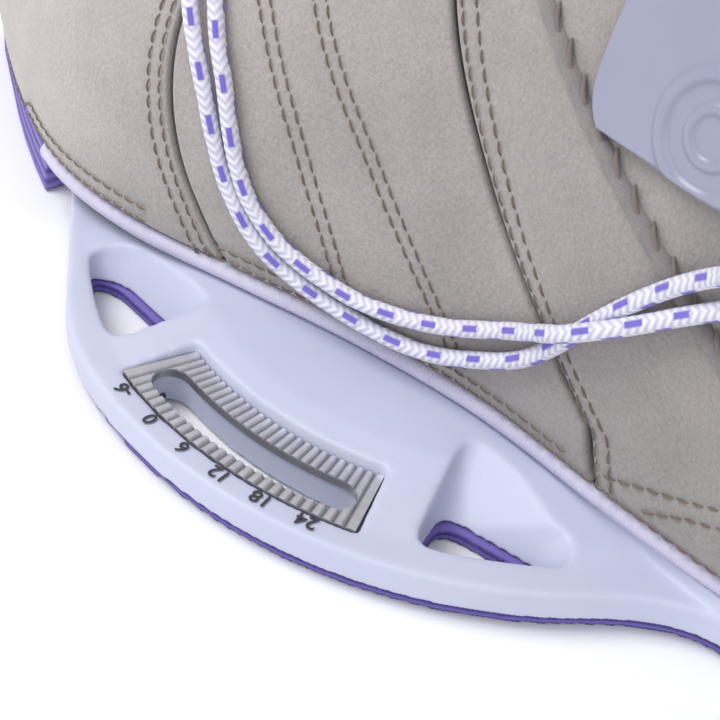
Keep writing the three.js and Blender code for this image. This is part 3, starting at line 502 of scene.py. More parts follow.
def nearestGap(places, lines):
    flat = places.reshape(-1, 3)
    best = np.full(len(flat), 1.0)
    low, high = flat.min(0) - 0.005, flat.max(0) + 0.005
    for line in lines:
        line = line[((line > low) & (line < high)).all(1)]
        for start in range(0, len(line), 40):
            part = line[start:start + 40]
            gap = ((flat[:, None, :] - part[None]) ** 2).sum(2).min(1)
            best = np.minimum(best, gap)
    return np.sqrt(best).reshape(places.shape[:2])


def softness(places, size, height):
    waves = np.zeros(places.shape[:2])
    for k, (a, b, c, phase) in enumerate([(1, 0.6, 0.3, 0), (-0.5, 0.9, 0.8, 2), (0.2, -0.7, 1.1, 4)]):
        turn = places @ np.array([a, b, c]) * 2 * np.pi / size + phase
        waves += np.sin(turn + 1.3 * np.sin(turn * 0.37 + k))
    return waves * height / 3


def panel(name, place, look, body, nodes, settings, lines=(), relief=None):
    radius = settings["round"] * mm
    u = spaced(settings["count"][0], settings["size"][0] * mm, radius)
    v = spaced(settings["count"][1], settings["size"][1] * mm, radius)
    gridU, gridV = np.meshgrid(u, v, indexing="ij")
    s, t = place(gridU, gridV)
    base, out = skin(s, t)
    alongRun, aroundRun = runs(base, 0), runs(base, 1)
    gap = np.minimum(np.minimum(alongRun, alongRun[-1:] - alongRun),
                     np.minimum(aroundRun, aroundRun[:, -1:] - aroundRun))
    lift = rounded(gap, radius) + softness(base, 0.03, settings.get("soft", 0.15) * mm)
    lift += settings.get("puff", 0) * mm * (1 - np.exp(-gap / (settings.get("puffReach", 6) * mm)))
    if len(lines):
        stitched = nearestGap(base, lines)
        lift -= settings.get("groove", 0.3) * mm * np.exp(-(stitched / (0.8 * mm)) ** 2)
    if relief is not None:
        lift += relief(base, s, t)
    top = base + out * (settings.get("out", 0) * mm + lift)[..., None]
    inward = rounded(gap, radius) if settings.get("roundInside") else np.zeros_like(gap)
    low = settings.get("out", 0) - settings["thickness"]
    under = base + out * (low * mm - inward)[..., None]
    rows, columns = gap.shape
    count = rows * columns
    faces = [gridFaces(rows, columns), gridFaces(rows, columns, count)[:, ::-1]]
    rim = np.concatenate([
        np.arange(columns), np.arange(1, rows) * columns + columns - 1,
        (rows - 1) * columns + np.arange(columns - 2, -1, -1), np.arange(rows - 2, 0, -1) * columns])
    nextRim = np.roll(rim, -1)
    faces.append(np.stack([rim, nextRim, nextRim + count, rim + count], 1))
    faces = np.concatenate(faces)
    normal = np.cross(top[1:, :-1] - top[:-1, :-1], top[:-1, 1:] - top[:-1, :-1])
    if (normal * out[:-1, :-1]).sum() < 0:
        faces = faces[:, ::-1]
    points = np.concatenate([top.reshape(-1, 3), under.reshape(-1, 3)])
    made = newMesh(name, points, faces.tolist())
    return link(made, look, body, nodes)


def smoothRoute(points, step):
    points = np.asarray(points, float)
    padded = np.concatenate([[2 * points[0] - points[1]], points, [2 * points[-1] - points[-2]]])
    made = []
    for a, b, c, d in zip(padded, padded[1:], padded[2:], padded[3:]):
        t1 = np.linalg.norm(b - a) ** 0.5
        t2 = t1 + np.linalg.norm(c - b) ** 0.5
        t3 = t2 + np.linalg.norm(d - c) ** 0.5
        t = np.linspace(t1, t2, 12, endpoint=False)[:, None]
        one = (t1 - t) / t1 * a + t / t1 * b
        two = (t2 - t) / (t2 - t1) * b + (t - t1) / (t2 - t1) * c
        three = (t3 - t) / (t3 - t2) * c + (t - t2) / (t3 - t2) * d
        four = (t2 - t) / t2 * one + t / t2 * two
        five = (t3 - t) / (t3 - t1) * two + (t - t1) / (t3 - t1) * three
        made.append((t2 - t) / (t2 - t1) * four + (t - t1) / (t2 - t1) * five)
    made = np.concatenate([*made, points[-1:]])
    run = np.concatenate([[0], np.cumsum(np.linalg.norm(np.diff(made, axis=0), axis=1))])
    even = np.linspace(0, run[-1], max(3, int(run[-1] / step)))
    return np.stack([np.interp(even, run, made[:, k]) for k in range(3)], 1), even


def carried(route):
    tangent = np.gradient(route, axis=0)
    tangent /= np.linalg.norm(tangent, axis=1, keepdims=True) + 1e-12
    side = np.cross(tangent[0], [0, 0, 1.0])
    if np.linalg.norm(side) < 0.1:
        side = np.cross(tangent[0], [1.0, 0, 0])
    sides = []
    for direction in tangent:
        side = side - direction * (side @ direction)
        side = side / np.linalg.norm(side)
        sides.append(side)
    sides = np.array(sides)
    return sides, np.cross(tangent, sides)


def sweep(name, route, radius, sides, radiusAt=None, values=None):
    first, second = carried(route)
    angle = 2 * np.pi * np.arange(sides) / sides
    along = np.arange(len(route))[:, None]
    scale = radiusAt(along, angle[None, :]) if radiusAt else np.ones((len(route), sides))
    ring = (np.cos(angle)[None, :, None] * first[:, None] + np.sin(angle)[None, :, None] * second[:, None])
    points = route[:, None] + ring * (radius * scale)[..., None]
    return newMesh(name, points, tubeFaces(len(route), sides), values)


def copyOf(node, look, body, name, bevel=0.0, voxel=0.0, steps=0):
    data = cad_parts[node].data.copy()
    shape = bmesh.new()
    shape.from_mesh(data)
    bmesh.ops.remove_doubles(shape, verts=shape.verts, dist=1e-6)
    bmesh.ops.dissolve_limit(shape, angle_limit=math.radians(1.5), verts=shape.verts, edges=shape.edges)
    shape.to_mesh(data)
    shape.free()
    if data.attributes.get("custom_normal"):
        data.attributes.remove(data.attributes["custom_normal"])
    made = added(name, data)
    data.shade_smooth()
    if voxel:
        remesh = made.modifiers.new("remesh", "REMESH")
        remesh.mode = "VOXEL"
        remesh.voxel_size = voxel * mm * coarse
        remesh.use_smooth_shade = True
        smooth = made.modifiers.new("smooth", "SMOOTH")
        smooth.factor = 0.5
        smooth.iterations = steps
    elif bevel:
        edges = made.modifiers.new("bevel", "BEVEL")
        edges.width = bevel * mm
        edges.segments = 3
        edges.limit_method = "ANGLE"
        edges.angle_limit = math.radians(38)
        edges.harden_normals = True
    return link(made, look, body, [node])


# Stitches: rows of short arched threads with sunk ends

def stitches(name, rows, look, settings, body="boot"):
    points, faces = [], []
    rings, sides = 6, 6
    angle = 2 * np.pi * np.arange(sides) / sides
    share = np.linspace(-0.5, 0.5, rings)
    arch = np.array([-0.9, 0.25, 0.75, 0.75, 0.25, -0.9])
    size = np.array([0.5, 0.95, 1, 1, 0.95, 0.5])
    count = 0
    for line, out in rows:
        run = np.concatenate([[0], np.cumsum(np.linalg.norm(np.diff(line, axis=0), axis=1))])
        number = int(run[-1] / (settings["pitch"] * mm))
        if number < 1:
            continue
        middles = (np.arange(number) + 0.5) * run[-1] / number
        reach = settings["length"] * mm

        def at(where, what):
            return np.stack([np.interp(where, run, what[:, k]) for k in range(3)], -1)

        spots = middles[:, None] + share[None] * reach
        centre = at(spots, line)
        normal = at(spots, out)
        normal /= np.linalg.norm(normal, axis=-1, keepdims=True) + 1e-12
        direction = at(middles + 0.4 * reach, line) - at(middles - 0.4 * reach, line)
        direction /= np.linalg.norm(direction, axis=-1, keepdims=True) + 1e-12
        across = np.cross(direction[:, None], normal)
        across /= np.linalg.norm(across, axis=-1, keepdims=True) + 1e-12
        radius = settings["radius"] * mm
        lean = settings.get("lean", 0) * reach * share[None, :, None] * across
        centre = centre + lean + normal * (radius * arch)[None, :, None]
        ring = (np.cos(angle)[None, None, :, None] * across[:, :, None]
                + np.sin(angle)[None, None, :, None] * normal[:, :, None])
        thread = centre[:, :, None] + ring * (radius * size)[None, :, None, None]
        points.append(thread.reshape(-1, 3))
        base = gridFaces(rings, sides, 0, True)
        for k in range(number):
            faces.append(base + count)
            count += rings * sides
    made = newMesh(name, np.concatenate(points), np.concatenate(faces).tolist())
    return link(made, look, body)


def rowOn(s, t, height=0.0):
    place, out = skin(s, t)
    return place + out * height * mm, out


# Laces: braided cords, the two free ends first

laceSize = {"radius": 1.6, "step": 0.36, "sides": 24, "strand": 1.7, "fleckPitch": 9.5, "fleckLength": 3.4,
            "fleckRows": 4, "fleckReach": 0.3}
freeRoutes = {
    "first": [
        (7, 2, 261.8), (7, 2, 268.5), (-4, 1, 281), (-17, -1, 277), (-28, -4, 256), (-38, -8, 222),
        (-48, -13, 180), (-58, -17, 138), (-67, -20, 104), (-72, -23.5, 84.5), (-65, -31.5, 78.5),
        (-54, -39, 76.2), (-43, -46, 71.5), (-35.5, -50.7, 66), (-31, -52.8, 60), (-27.3, -53.6, 54.5),
        (-24.2, -54.1, 48), (-20.6, -54, 40.5), (-17, -53.3, 35), (-11.4, -51.5, 29.8), (-6, -49.7, 27.2),
        (0.7, -47.6, 25.6), (6.7, -45.8, 25), (15.5, -43.4, 26.2), (25.4, -41.4, 29.8),
        (37.3, -40, 36.6), (44, -41, 41.2), (49.5, -42.6, 45.4), (54.5, -42.3, 49.2),
        (60.5, -39.9, 53.6), (66.5, -38.8, 58.8), (71.8, -38.6, 63.4), (78.3, -38.8, 69),
    ],
    "second": [
        (7, -2, 261.8), (7, -2.4, 268.5), (-4, -3.4, 281), (-17, -5.4, 277), (-28, -8.4, 256),
        (-38, -12.4, 222), (-48, -17, 180), (-58, -21.2, 138), (-69, -24, 104), (-76.3, -25.5, 85),
        (-70, -34, 78.5), (-57.7, -41.6, 75.4), (-46, -49.2, 70), (-38.9, -53.6, 64.2),
        (-34.3, -55.2, 58.6), (-30.7, -55.7, 53), (-27.6, -55.6, 46.5), (-24, -55, 38.8),
        (-20.1, -54.2, 33), (-14.3, -52.5, 27), (-8.4, -50.2, 23.6), (-2, -48.1, 21.7),
        (4.4, -46.1, 20.6), (14.2, -43.5, 20.4), (22.7, -41.5, 21.9), (32.9, -40.1, 27),
        (40.9, -39.5, 32.6), (46.4, -39.2, 38.9), (50.8, -39, 45.6), (55, -38.8, 51.6),
        (59.6, -38.7, 57.6), (64.5, -38.6, 63.3), (69.5, -39.4, 68.4), (73.8, -41.4, 72.6),
    ],
}
agletSize = {"radius": 1.9, "length": 14, "gap": 0.3}


def braid(name, points):
    route, run = smoothRoute(np.array(points) * mm, laceSize["step"] * mm * coarse)
    sides = laceSize["sides"]
    angle = 2 * np.pi * np.arange(sides) / sides
    fold = np.abs(((angle * 3 / np.pi) % 2) - 1)[None]
    strand = np.sin(2 * np.pi * (run[:, None] / (laceSize["strand"] * mm) + 0.9 * fold))
    along = run[:, None] / mm
    fleck = np.zeros((len(run), sides))
    for k in range(laceSize["fleckRows"]):
        centre = 2 * np.pi * k / laceSize["fleckRows"]
        apart = np.abs((angle - centre + np.pi) % (2 * np.pi) - np.pi)[None]
        shifted = (along + (k % 2) * laceSize["fleckPitch"] / 2) % laceSize["fleckPitch"]
        fleck += (apart < laceSize["fleckReach"]) * (shifted < laceSize["fleckLength"])
    fleck = np.minimum(fleck, 1)
    # The strand attribute also masks the painted shade between braid strands in laceCord.
    made = sweep(name, route, laceSize["radius"] * mm, sides,
                 lambda a, b: 0.97 + 0.03 * strand,
                 {"strand": 0.5 + 0.5 * strand, "fleck": fleck})
    made.data.materials.append(looks["lace"])
    return made, route, float(run[-1])


def makeAglet(name, points):
    end, before = np.array(points[-1], float), np.array(points[-2], float)
    along = (end - before) / np.linalg.norm(end - before)
    steps = np.linspace(0, agletSize["length"], 24)
    route = (end + along * (steps[:, None] + agletSize["gap"] - 0.6)) * mm
    profile = np.interp(steps, [0, 0.6, 1.4, 12.6, 13.6, 14], [0.86, 1, 0.94, 0.94, 0.98, 0.8])
    return sweep(name, route, agletSize["radius"] * mm, 24, lambda a, b: profile[:, None] + 0 * b)


def makeFreeEnd(which):
    points = freeRoutes[which]
    made, route, length = braid(which + "Lace", points)
    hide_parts(which + "_free_lace_end")
    tip = link(makeAglet(which + "Tip", points), "aglet", "boot", [which + "_aglet"])
    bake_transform(made)
    print(which, "free end", round(length, 4))


makeFreeEnd("first")
makeFreeEnd("second")

heldSize = {
    "rows": (6.75, 7.7, 8.8, 15.6, 17.1), "loopShare": 0.165 + 0.006 + 0.0425, "lift": 0.6 + 1.6 + 0.3 + 0.2,
    "height": 4.2, "reach": 4.0, "lockX": 7, "lockZ": 232, "lockHeight": 15, "spread": 2, "room": 22,
    "followFrom": 31, "followFully": 24,
}


def sideFrame(s, t):
    _, up = skin(s, t)
    along = lifted(s + 0.05, t, 0) - lifted(s - 0.05, t, 0)
    across = np.cross(up, along)
    across /= np.linalg.norm(across)
    return np.cross(across, up)


def heldEnd(firstSide):
    size = heldSize
    points = []
    for i, row in enumerate(size["rows"]):
        side = firstSide * (1 if i % 2 == 0 else -1)
        middle = lifted(row, side * size["loopShare"], (size["lift"] + size["height"]) * mm)
        along = sideFrame(row, side * size["loopShare"])
        points.append(middle - along * size["reach"] * mm)
        points.append(middle + along * size["reach"] * mm)
        if i + 1 < len(size["rows"]):
            over = 3 * laceSize["radius"] if (i % 2 == 0) == (firstSide > 0) else 0
            points.append(lifted((row + size["rows"][i + 1]) / 2, 0.0, (2.6 + over) * mm))
    lastSide = firstSide * (1 if len(size["rows"]) % 2 == 1 else -1)
    y, x = lastSide * size["spread"], size["lockX"]
    low, high = size["lockZ"] - size["lockHeight"] / 2, size["lockZ"] + size["lockHeight"] / 2
    for point in ((x + 1, y * 2.2, low - 7), (x, y, low - 1), (x, y, high), (x, y, high + size["room"])):
        points.append(np.array(point, float) * mm)
    return points


# Each half goes from its loops, on the boot, to the middle, on the tongue
def halved(made, name, side):
    data = made.data.copy()
    shape = bmesh.new()
    shape.from_mesh(data)
    far = [face for face in shape.faces if (face.calc_center_median().y >= 0) != (side > 0)]
    bmesh.ops.delete(shape, geom=far, context="FACES")
    bmesh.ops.holes_fill(shape, edges=[edge for edge in shape.edges if edge.is_boundary], sides=0)
    shape.to_mesh(data)
    shape.free()
    return added(name, data)


def makeHeldLace():
    lowest = lifted(heldSize["rows"][0] - 0.42, 0.0, 2.4 * mm)
    route = [*heldEnd(-1)[::-1], lowest, *heldEnd(1)]
    made, _, length = braid("heldLace", np.array(route) / mm)
    for side, name in ((-1, "heldLaceInner"), (1, "heldLaceOuter")):
        half = halved(made, name, side)
        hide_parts("boot_lace")
        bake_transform(half)
    bpy.data.objects.remove(made)
    print("held lace", round(length, 4))


makeHeldLace()
print("laces made")


# The mounting plate, its pad, outsoles and slot inserts

copyOf("base_plate", "plate", "boot", voxel=0.62, steps=8, name="plate")
copyOf("base_pad", "pad", "boot", voxel=0.7, steps=3, name="platePad")
copyOf("toe_outsole", "outsole", "boot", bevel=0.8, name="toeOutsole")
copyOf("heel_outsole", "outsole", "boot", bevel=0.8, name="heelOutsole")
for side in ("inner", "outer"):
    copyOf("slot_insert_" + side, "alloy", "boot", bevel=0.09, name=side + "Insert")

numberSize = {"radius": 85.3, "height": 3.0, "text": ("-6", "0", "6", "12", "18", "24"), "lift": 0.03,
              "fontScale": 1.35, "heavier": 0.06, "deep": 0.04, "rimTop": 9}


def makeNumbers(side, turn):
    for text in numberSize["text"]:
        curve = bpy.data.curves.new("number", "FONT")
        curve.body = text
        curve.size = numberSize["height"] * mm * numberSize["fontScale"]
        curve.align_x = "CENTER"
        curve.align_y = "CENTER"
        curve.offset = numberSize["heavier"] * mm
        curve.extrude = numberSize["deep"] * mm
        shape = added("number", curve)
        bpy.context.view_layer.update()
        graph = bpy.context.evaluated_depsgraph_get()
        data = bpy.data.meshes.new_from_object(shape.evaluated_get(graph))
        bpy.data.objects.remove(shape)
        made = added(side + "Number" + text.replace("-", "minus"), data)
        angle = math.radians(float(text))
        out = Vector((math.sin(angle), -math.cos(angle), 0))
        across = Vector((-math.cos(angle), -math.sin(angle), 0))
        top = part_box("base_plate")[0].z + numberSize["rimTop"] * mm + numberSize["lift"] * mm
        stand = Matrix((across, out, (0, 0, 1))).transposed().to_4x4()
        stand.translation = out * numberSize["radius"] * mm + Vector((0, 0, top))
        made.data.transform(Matrix.Rotation(turn, 4, "Z") @ stand)
        link(made, "ink", "boot", ())


makeNumbers("inner", 0)
makeNumbers("outer", math.pi)
print("plate made")

# Under the foot: board, footbed and the sole's screws

copyOf("lasting_board", "board", "boot", bevel=0.4, name="lastingBoard")
footbed = copyOf("footbed", "footbed", "boot", voxel=1.1, steps=6, name="footbedPad")
for i in range(1, 5):
    copyOf(f"sole_nut_{i}", "steel", "boot", bevel=0.25, name=f"soleNut{i}")
    copyOf(f"sole_screw_{i}", "steel", "boot", bevel=0.2, name=f"soleScrew{i}")


# Piping round the sole, ribbed

pipingSize = {"radius": 1.9, "moved": 0.5, "from": 4.4, "step": 0.35,
              "rib": 0.62, "ribDepth": 0.09, "fine": 0.155}


def heightShare(s, side, height):
    low, high = 0.3, 1.0
    if lifted(s, side * 1.0, 0)[2] > height:
        return 1.0
    for _ in range(24):
        half = (low + high) / 2
        if lifted(s, side * half, 0)[2] > height:
            low = half
        else:
            high = half
    return low


def contour(height, moved, first, step):
    points = []
    for side in (-1, 1):
        part = []
        for s in np.arange(first, 13.2, step):
            t = heightShare(s, side, height)
            if t > 0.995:
                break
            place, out = skin(s, side * t)
            out = np.array([out[0], out[1], 0])
            part.append(place + out / np.linalg.norm(out) * moved)
        points.append(part)
    route = points[0] + points[1][::-1]
    return np.array([point for point in route if point[0] > pipingStartX])


pipingStartX = shoe["pipingStart"] * mm
pipingHeight = (shoe["bottom"] + pipingSize["radius"] + 0.1) * mm


def makePiping():
    route = contour(pipingHeight, pipingSize["moved"] * mm, pipingSize["from"], pipingSize["step"])
    route[:, 2] = pipingHeight
    fine, run = smoothRoute(route, pipingSize["fine"] * mm * coarse)
    ribs = 1 - pipingSize["ribDepth"] * (0.5 - 0.5 * np.cos(2 * np.pi * run / (pipingSize["rib"] * mm)))
    ends = np.clip(np.minimum(run, run[-1] - run) / (1.5 * mm), 0.2, 1) ** 0.5
    made = sweep("soleCord", fine, pipingSize["radius"] * mm, 14,
                 lambda a, b: (ribs * ends)[:, None] + 0 * b)
    link(made, "piping", "boot", ["welt_piping"])


makePiping()
print("sole made")


# Upper panels, with the seams that cross them

def seamRow(seam, side, distance):
    t = np.linspace(shoe["edge"] + 0.004, 0.985, 300)
    s = seamAt(seam, t)
    keep = t < soleShare(s, side) - 0.004
    s, t = s[keep], side * t[keep]
    return moveAlong(s, t, distance * mm), t


def toeRow(distance):
    t = np.linspace(-0.985, 0.985, 700)
    s = seamAt("toe", t)
    keep = np.abs(t) < np.where(t < 0, soleShare(s, -1), soleShare(s, 1)) - 0.004
    s, t = s[keep], t[keep]
    return moveAlong(s, t, distance * mm), t


def drawnRow(points, side, distance):
    points = np.array(points, float)
    even = np.linspace(0, len(points) - 1, 240)
    s = np.interp(even, np.arange(len(points)), points[:, 0])
    t = np.interp(even, np.arange(len(points)), points[:, 1])
    kernel = np.ones(25) / 25
    s = np.convolve(np.pad(s, 12, mode="reflect", reflect_type="odd"), kernel, "valid")
    t = np.convolve(np.pad(t, 12, mode="reflect", reflect_type="odd"), kernel, "valid")
    keep = t < soleShare(s, side) - 0.006
    s, t = s[keep], side * t[keep]
    return moveAlong(s, t, distance * mm), t


def weltRow(side, distance, low, high):
    s = np.linspace(low, high, 700)
    t = soleShare(s, side)
    keep = t < 0.993
    s, t = s[keep], side * t[keep]
    return s, t - side * distance * mm / np.maximum(lookUp(aroundSize, s, t), 1e-4)


vampSeams = {
    "front": [(6.05, 0.172), (6.35, 0.26), (6.72, 0.34), (7.08, 0.425),
              (7.4, 0.505), (7.7, 0.595), (7.95, 0.69), (8.05, 0.74)],
    "rear": [(6.62, 0.172), (6.85, 0.26), (7.18, 0.34), (7.55, 0.42),
             (7.98, 0.505), (8.35, 0.59), (8.7, 0.68), (8.87, 0.73)],
    "heelUpper": [(9.98, 0.762), (10.28, 0.75), (10.58, 0.74), (10.88, 0.73),
                  (11.4, 0.71), (12.2, 0.69), (13.0, 0.7)],
    "heelLower": [(10.25, 0.778), (10.58, 0.758), (10.88, 0.748), (11.4, 0.729),
                  (12.2, 0.71), (13.0, 0.72)],
}

rows = {"toe": [], "inner": [], "outer": []}
rows["toe"] += [toeRow(-2.0), toeRow(-4.8)]
for side, name in ((-1, "inner"), (1, "outer")):
    rows["toe"] += [weltRow(side, 1.6, 1.6, 6.2), weltRow(side, 4.4, 1.9, 6.2)]
    rows[name] += [weltRow(side, 1.4, 6.7, 12.6), weltRow(side, 3.6, 6.8, 9.7)]
    rows[name] += [seamRow("quarter", side, 2.0), seamRow("quarter", side, 4.9)]
    for which in ("front", "rear"):
        rows[name] += [drawnRow(vampSeams[which], side, -1.3), drawnRow(vampSeams[which], side, 1.3)]
    rows[name] += [drawnRow(vampSeams["heelUpper"], side, 0), drawnRow(vampSeams["heelLower"], side, 0)]

lines = {key: [rowOn(s, t)[0] for s, t in made if len(s) > 2] for key, made in rows.items()}

panelSettings = {
    "toe": {"count": (190, 260), "size": (120, 150), "round": 1.1, "thickness": 3,
            "puff": 0.35, "soft": 0.2},
    "forefoot": {"count": (110, 130), "size": (60, 80), "round": 0.9, "thickness": 3,
                 "puff": 0.3, "soft": 0.2},
    "quarter": {"count": (200, 130), "size": (110, 80), "round": 1.1, "thickness": 3,
                "puff": 0.5, "soft": 0.2},
    "cuff": {"count": (190, 150), "size": (150, 130), "round": 1.0, "thickness": 3,
             "puff": 0.5, "soft": 0.35, "puffReach": 10},
}


def makeToePanel():
    def place(u, v):
        sideways = 2 * v - 1
        side = np.where(sideways < 0, -1, 1)
        s, t = settled(
            lambda share: 0.02 + (seamAt("toe", share) - shoe["stationGap"] - 0.02) * u,
            lambda station: (np.where(side < 0, soleShare(station, -1), soleShare(station, 1))
                             * np.abs(sideways)),
            u.shape)
        return s, side * t

    panel("toePanel", place, "suede", "boot", ["toe_panel"], panelSettings["toe"], lines["toe"])


def makeSidePanels(side, name):
    gap = shoe["stationGap"]

    def forefoot(u, v):
        s, t = settled(
            lambda share: (seamAt("toe", share) + gap
                           + (seamAt("quarter", share) - seamAt("toe", share) - 2 * gap) * u),
            lambda station: shoe["edge"] + (soleShare(station, side) - shoe["edge"]) * v, u.shape)
        return s, side * t

    def quarter(u, v):
        top = seams["cuff"][1] - 0.4
        s, t = settled(
            lambda share: seamAt("quarter", share) + gap + (top - seamAt("quarter", share) - gap) * u,
            lambda station: (cuffShare(station) + 0.003) * (1 - v) + soleShare(station, side) * v,
            u.shape)
        return s, side * t

    def cuff(u, v):
        t = shoe["edge"] + (shoe["backShare"] - shoe["edge"]) * v
        low = cuffAt(t) + gap
        return low + (shoe["shaftTop"] - shoe["collarDrop"] - low) * u, side * t

    own = lines[name]
    panel(name + "Forefoot", forefoot, "suede", "boot", [name + "_forefoot_panel"],
          panelSettings["forefoot"], own)
    panel(name + "Quarter", quarter, "suede", "boot", [name + "_quarter"],
          panelSettings["quarter"], own)
    panel(name + "Cuff", cuff, "suede", "boot", [name + "_cuff"], panelSettings["cuff"])


makeToePanel()
for side, name in ((-1, "inner"), (1, "outer")):
    makeSidePanels(side, name)
print("panels made")

stitchSettings = {"pitch": 3.0, "length": 2.45, "radius": 0.22, "lean": 0.1}
for key, made in rows.items():
    stitches(key + "Stitches", [rowOn(s, t, 0.3) for s, t in made if len(s) > 2], "thread", stitchSettings)

foldSettings = {"radius": 1.5, "out": 0.4, "pitch": 6.4, "length": 6.0, "thread": 0.5}


def makeFold(side, name):
    t = np.linspace(shoe["edge"] + 0.01, 0.985, 260)
    s = moveAlong(cuffAt(t), side * t, 0.9 * mm)
    route, out = rowOn(s, side * t, foldSettings["out"])
    fine, run = smoothRoute(route[::4], 0.5 * mm * coarse)
    wave = 1 + 0.09 * np.sin(run / (foldSettings["pitch"] * mm) * 2 * np.pi)
    flat = np.clip(np.minimum(run, run[-1] - run) / (2 * mm), 0.3, 1)
    roll = sweep(name + "Fold", fine, foldSettings["radius"] * mm, 16,
                 lambda a, b: (wave * flat)[:, None] + 0 * b)
    link(roll, "edge", "boot", ())
    heavy = {"pitch": foldSettings["pitch"], "length": foldSettings["length"],
             "radius": foldSettings["thread"], "lean": 0.35}
    middle = rowOn(moveAlong(s, side * t, 1.6 * mm), side * t, 0.9)
    stitches(name + "FoldStitches", [middle], "bigThread", heavy)


for side, name in ((-1, "inner"), (1, "outer")):
    makeFold(side, name)
print("stitches made")


# Lining, collar and tongue

linerSettings = {"count": (80, 90), "size": (150, 150), "round": 0.8, "thickness": 3.6,
                 "out": -4.4, "soft": 0.2}


def bandPlace(fromS, toS, fromT, toT):
    return lambda u, v: (fromS + (toS - fromS) * u, fromT + (toT - fromT) * v)


toeLiner = panel("toeLining", bandPlace(0.5, 5.95, -0.992, 0.992), "liner", "boot", ["toe_liner"],
                 linerSettings)
ankleLiner = panel("ankleLining", bandPlace(6.02, shoe["shaftTop"] - shoe["collarDrop"], 0.175, 1.825),
                   "liner", "boot", ["ankle_liner"], linerSettings)

collarSize = {"out": 1.5, "in": 9.0, "around": 40, "along": 260, "wrinkle": 0.25}


def makeCollar():
    size = collarSize
    low, high = shoe["shaftTop"] - shoe["collarDrop"] + 0.02, shoe["shaftTop"]
    t = np.linspace(0.175, 1.825, int(size["along"] / coarse))
    turn = 2 * np.pi * np.arange(size["around"]) / size["around"]
    deep = np.sign(np.cos(turn)) * np.abs(np.cos(turn)) ** 0.7
    tall = np.sign(np.sin(turn)) * np.abs(np.sin(turn)) ** 0.7
    lengths = np.minimum(t - t[0], t[-1] - t)
    end = np.sqrt(np.clip(lengths / 0.03, 0.02, 1))[:, None]
    s = (low + high) / 2 + (high - low) / 2 * tall[None] * end
    depth = (size["out"] - size["in"]) / 2 + (size["out"] + size["in"]) / 2 * deep[None] * end
    crease = size["wrinkle"] * np.sin(t[:, None] * 190 + 2 * np.sin(t[:, None] * 31)) * (deep[None] > 0)
    points = lifted(s, np.broadcast_to(t[:, None], s.shape), (depth + crease * end) * mm)
    made = newMesh("collarPad", points, tubeFaces(len(t), size["around"]))
    link(made, "collar", "boot", ["collar"])


makeCollar()

tongueSettings = {"count": (220, 60), "size": (260, 46), "round": 2.4, "thickness": 6.2, "out": -0.3,
                  "soft": 0.3, "roundInside": True}
tongueRows = [(np.linspace(6.4, 19.5, 700), np.full(700, share)) for share in (-0.125, 0.125)]
tongueLines = [rowOn(s, t)[0] for s, t in tongueRows]
tongue = panel("tonguePad", bandPlace(6.02, 19.7, -0.152, 0.152), "tongue", "tongue", ["tongue"],
               tongueSettings, tongueLines)
stitches("tongueStitches", [rowOn(s, t, -0.35) for s, t in tongueRows], "thread", stitchSettings, "tongue")


# Eyestays and their lace loops

eyestaySettings = {"count": (260, 26), "size": (220, 13), "round": 0.5, "thickness": 1.6,
                   "out": 2.2, "soft": 0.1, "inset": 0.011}
for side, name in ((-1, "inner"), (1, "outer")):
    low = shoe["edge"] + 0.006
    panel(name + "Eyestay", bandPlace(6.15, 18.4, side * low, side * (low + shoe["eyestay"])), "edge", "boot",
          [name + "_eyestay"], eyestaySettings)
    eyestayRows = []
    inset = eyestaySettings["inset"]
    for share in (low + inset, low + shoe["eyestay"] - inset):
        s = np.linspace(6.25, 18.3, 700)
        eyestayRows.append(rowOn(s, np.full(len(s), side * share), 2.25))
    stitches(name + "EyestayStitches", eyestayRows, "thread", stitchSettings)
    for i in range(1, 6):
        copyOf(f"{name}_lace_loop_{i}", "webbing", "boot",
               voxel=0.3, steps=4, name=f"{name}Loop{i}")
print("lining, tongue and eyestays made")


# Badges with two embossed rings, one inside the other

badgeSize = {"x": 61, "z": 91, "halfLength": 23.5, "halfHeight": 13.5, "cornerCut": 0.16,
             "ringZ": 86.5, "ring": 9.2, "ringWidth": 1.3, "ringHeight": 0.75}


def placeOnSkin(x, z, side):
    s = np.full(x.shape, 11.0)
    t = np.full(x.shape, 0.45)
    step = 0.01
    for _ in range(14):
        here = lookUp(skinPlaces, s, side * t)
        byS = (lookUp(skinPlaces, s + step, side * t) - here) / step
        byT = (lookUp(skinPlaces, s, side * (t + step)) - here) / step
        det = byS[..., 0] * byT[..., 2] - byT[..., 0] * byS[..., 2]
        dx, dz = x - here[..., 0], z - here[..., 2]
        s = s + (dx * byT[..., 2] - dz * byT[..., 0]) / det
        t = t + (dz * byS[..., 0] - dx * byS[..., 2]) / det
    return s, side * t


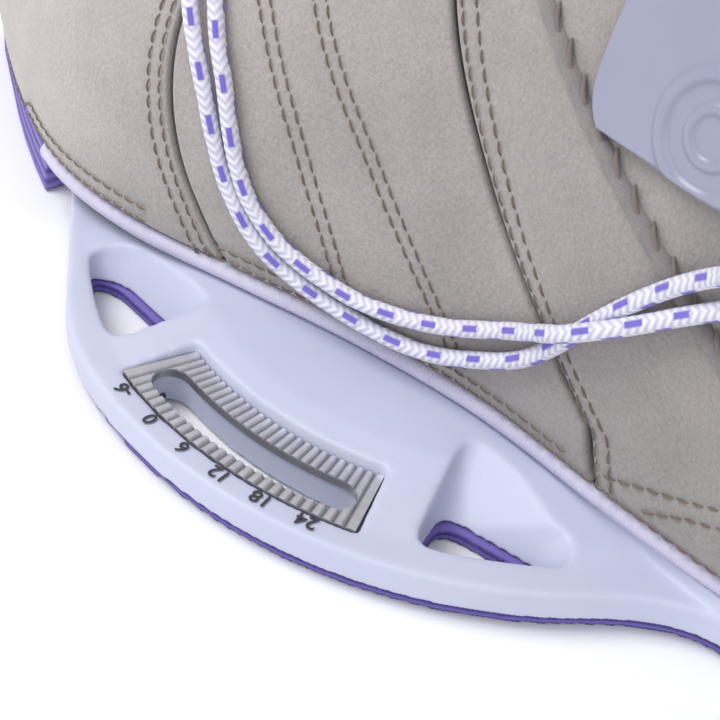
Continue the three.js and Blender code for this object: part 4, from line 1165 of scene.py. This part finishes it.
def makeBadge(side, name):
    size = badgeSize

    def place(u, v):
        rise = 2 * v - 1
        reach = 1 - size["cornerCut"] * np.abs(rise) ** 4
        return placeOnSkin((size["x"] + size["halfLength"] * reach * (2 * u - 1)) * mm,
                           (size["z"] + size["halfHeight"] * rise) * mm, side)

    def relief(base, s, t):
        far = np.hypot(base[..., 0] - size["x"] * mm, base[..., 2] - size["ringZ"] * mm) / mm
        ring = np.exp(-((far - size["ring"]) / size["ringWidth"]) ** 4)
        small = np.exp(-((far - size["ring"] * 0.45) / (0.7 * size["ringWidth"])) ** 4)
        return (ring + 0.7 * small) * size["ringHeight"] * mm

    settings = {"count": (150, 100), "size": (47, 27), "round": 0.8, "thickness": 2.4,
                "out": 2.7, "soft": 0}
    panel(name + "Badge", place, "badge", "boot", [name + "_badge"], settings,
          (), relief)


for side, name in ((-1, "inner"), (1, "outer")):
    makeBadge(side, name)

# Lace lock and heel pull

copyOf("lock_body", "lock", "lace_lock", bevel=0.7, name="lockBody")
copyOf("lock_button", "button", "lock_button", bevel=0.9, name="lockButton")
lockSpring = copyOf("lock_spring", "steel", "lace_lock", name="lockSpring")
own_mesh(lockSpring)
copyOf("heel_pull", "webbing", "heel_pull", bevel=0.5, name="heelLoop")
print("badges, lock and pull made")


# Floor, world and lights

floorSize = {"half": 4.0, "below": 0.0002}


def makeFloor():
    half, height = floorSize["half"], -floorSize["below"]
    data = bpy.data.meshes.new("floor")
    corners = [(-half, -half), (half, -half), (half, half), (-half, half)]
    data.from_pydata([(x, y, height) for x, y in corners], [], [(0, 1, 2, 3)])
    floor = added("floor", data)
    look = Look("floorPaint")
    share = look.ranged(look.noise(2), 0.3, 0.7)
    data.materials.append(look.finish(look.tint(share, srgb(247, 247, 249), srgb(250, 250, 251)), 0.9))


def makeLight(name, place, target, size, power, colour=(1, 1, 1)):
    data = bpy.data.lights.new(name, "AREA")
    data.shape = "DISK"
    data.size = size
    data.energy = power
    data.color = colour
    light = added(name, data)
    direction = Vector(target) - Vector(place)
    light.matrix_world = (Matrix.Translation(Vector(place))
                          @ direction.to_track_quat("-Z", "Y").to_matrix().to_4x4())


makeFloor()
makeLight("keyLight", (-0.5, -0.7, 1.3), (0, -0.02, 0.05), 0.9, 14)
makeLight("fillLight", (0.9, -0.9, 0.7), (0, 0, 0.05), 1.2, 4.5)
makeLight("backLight", (-0.6, 1.0, 0.9), (0, 0, 0.08), 1.0, 7)
world = bpy.data.worlds.new("world")
bpy.context.scene.world = world
world.use_nodes = True
background = world.node_tree.nodes["Background"]
background.inputs["Color"].default_value = (0.96, 0.97, 1.0, 1.0)
background.inputs["Strength"].default_value = 0.62
bpy.context.scene.view_settings.view_transform = "Standard"
print("floor and lights made")

bpy.context.view_layer.update()
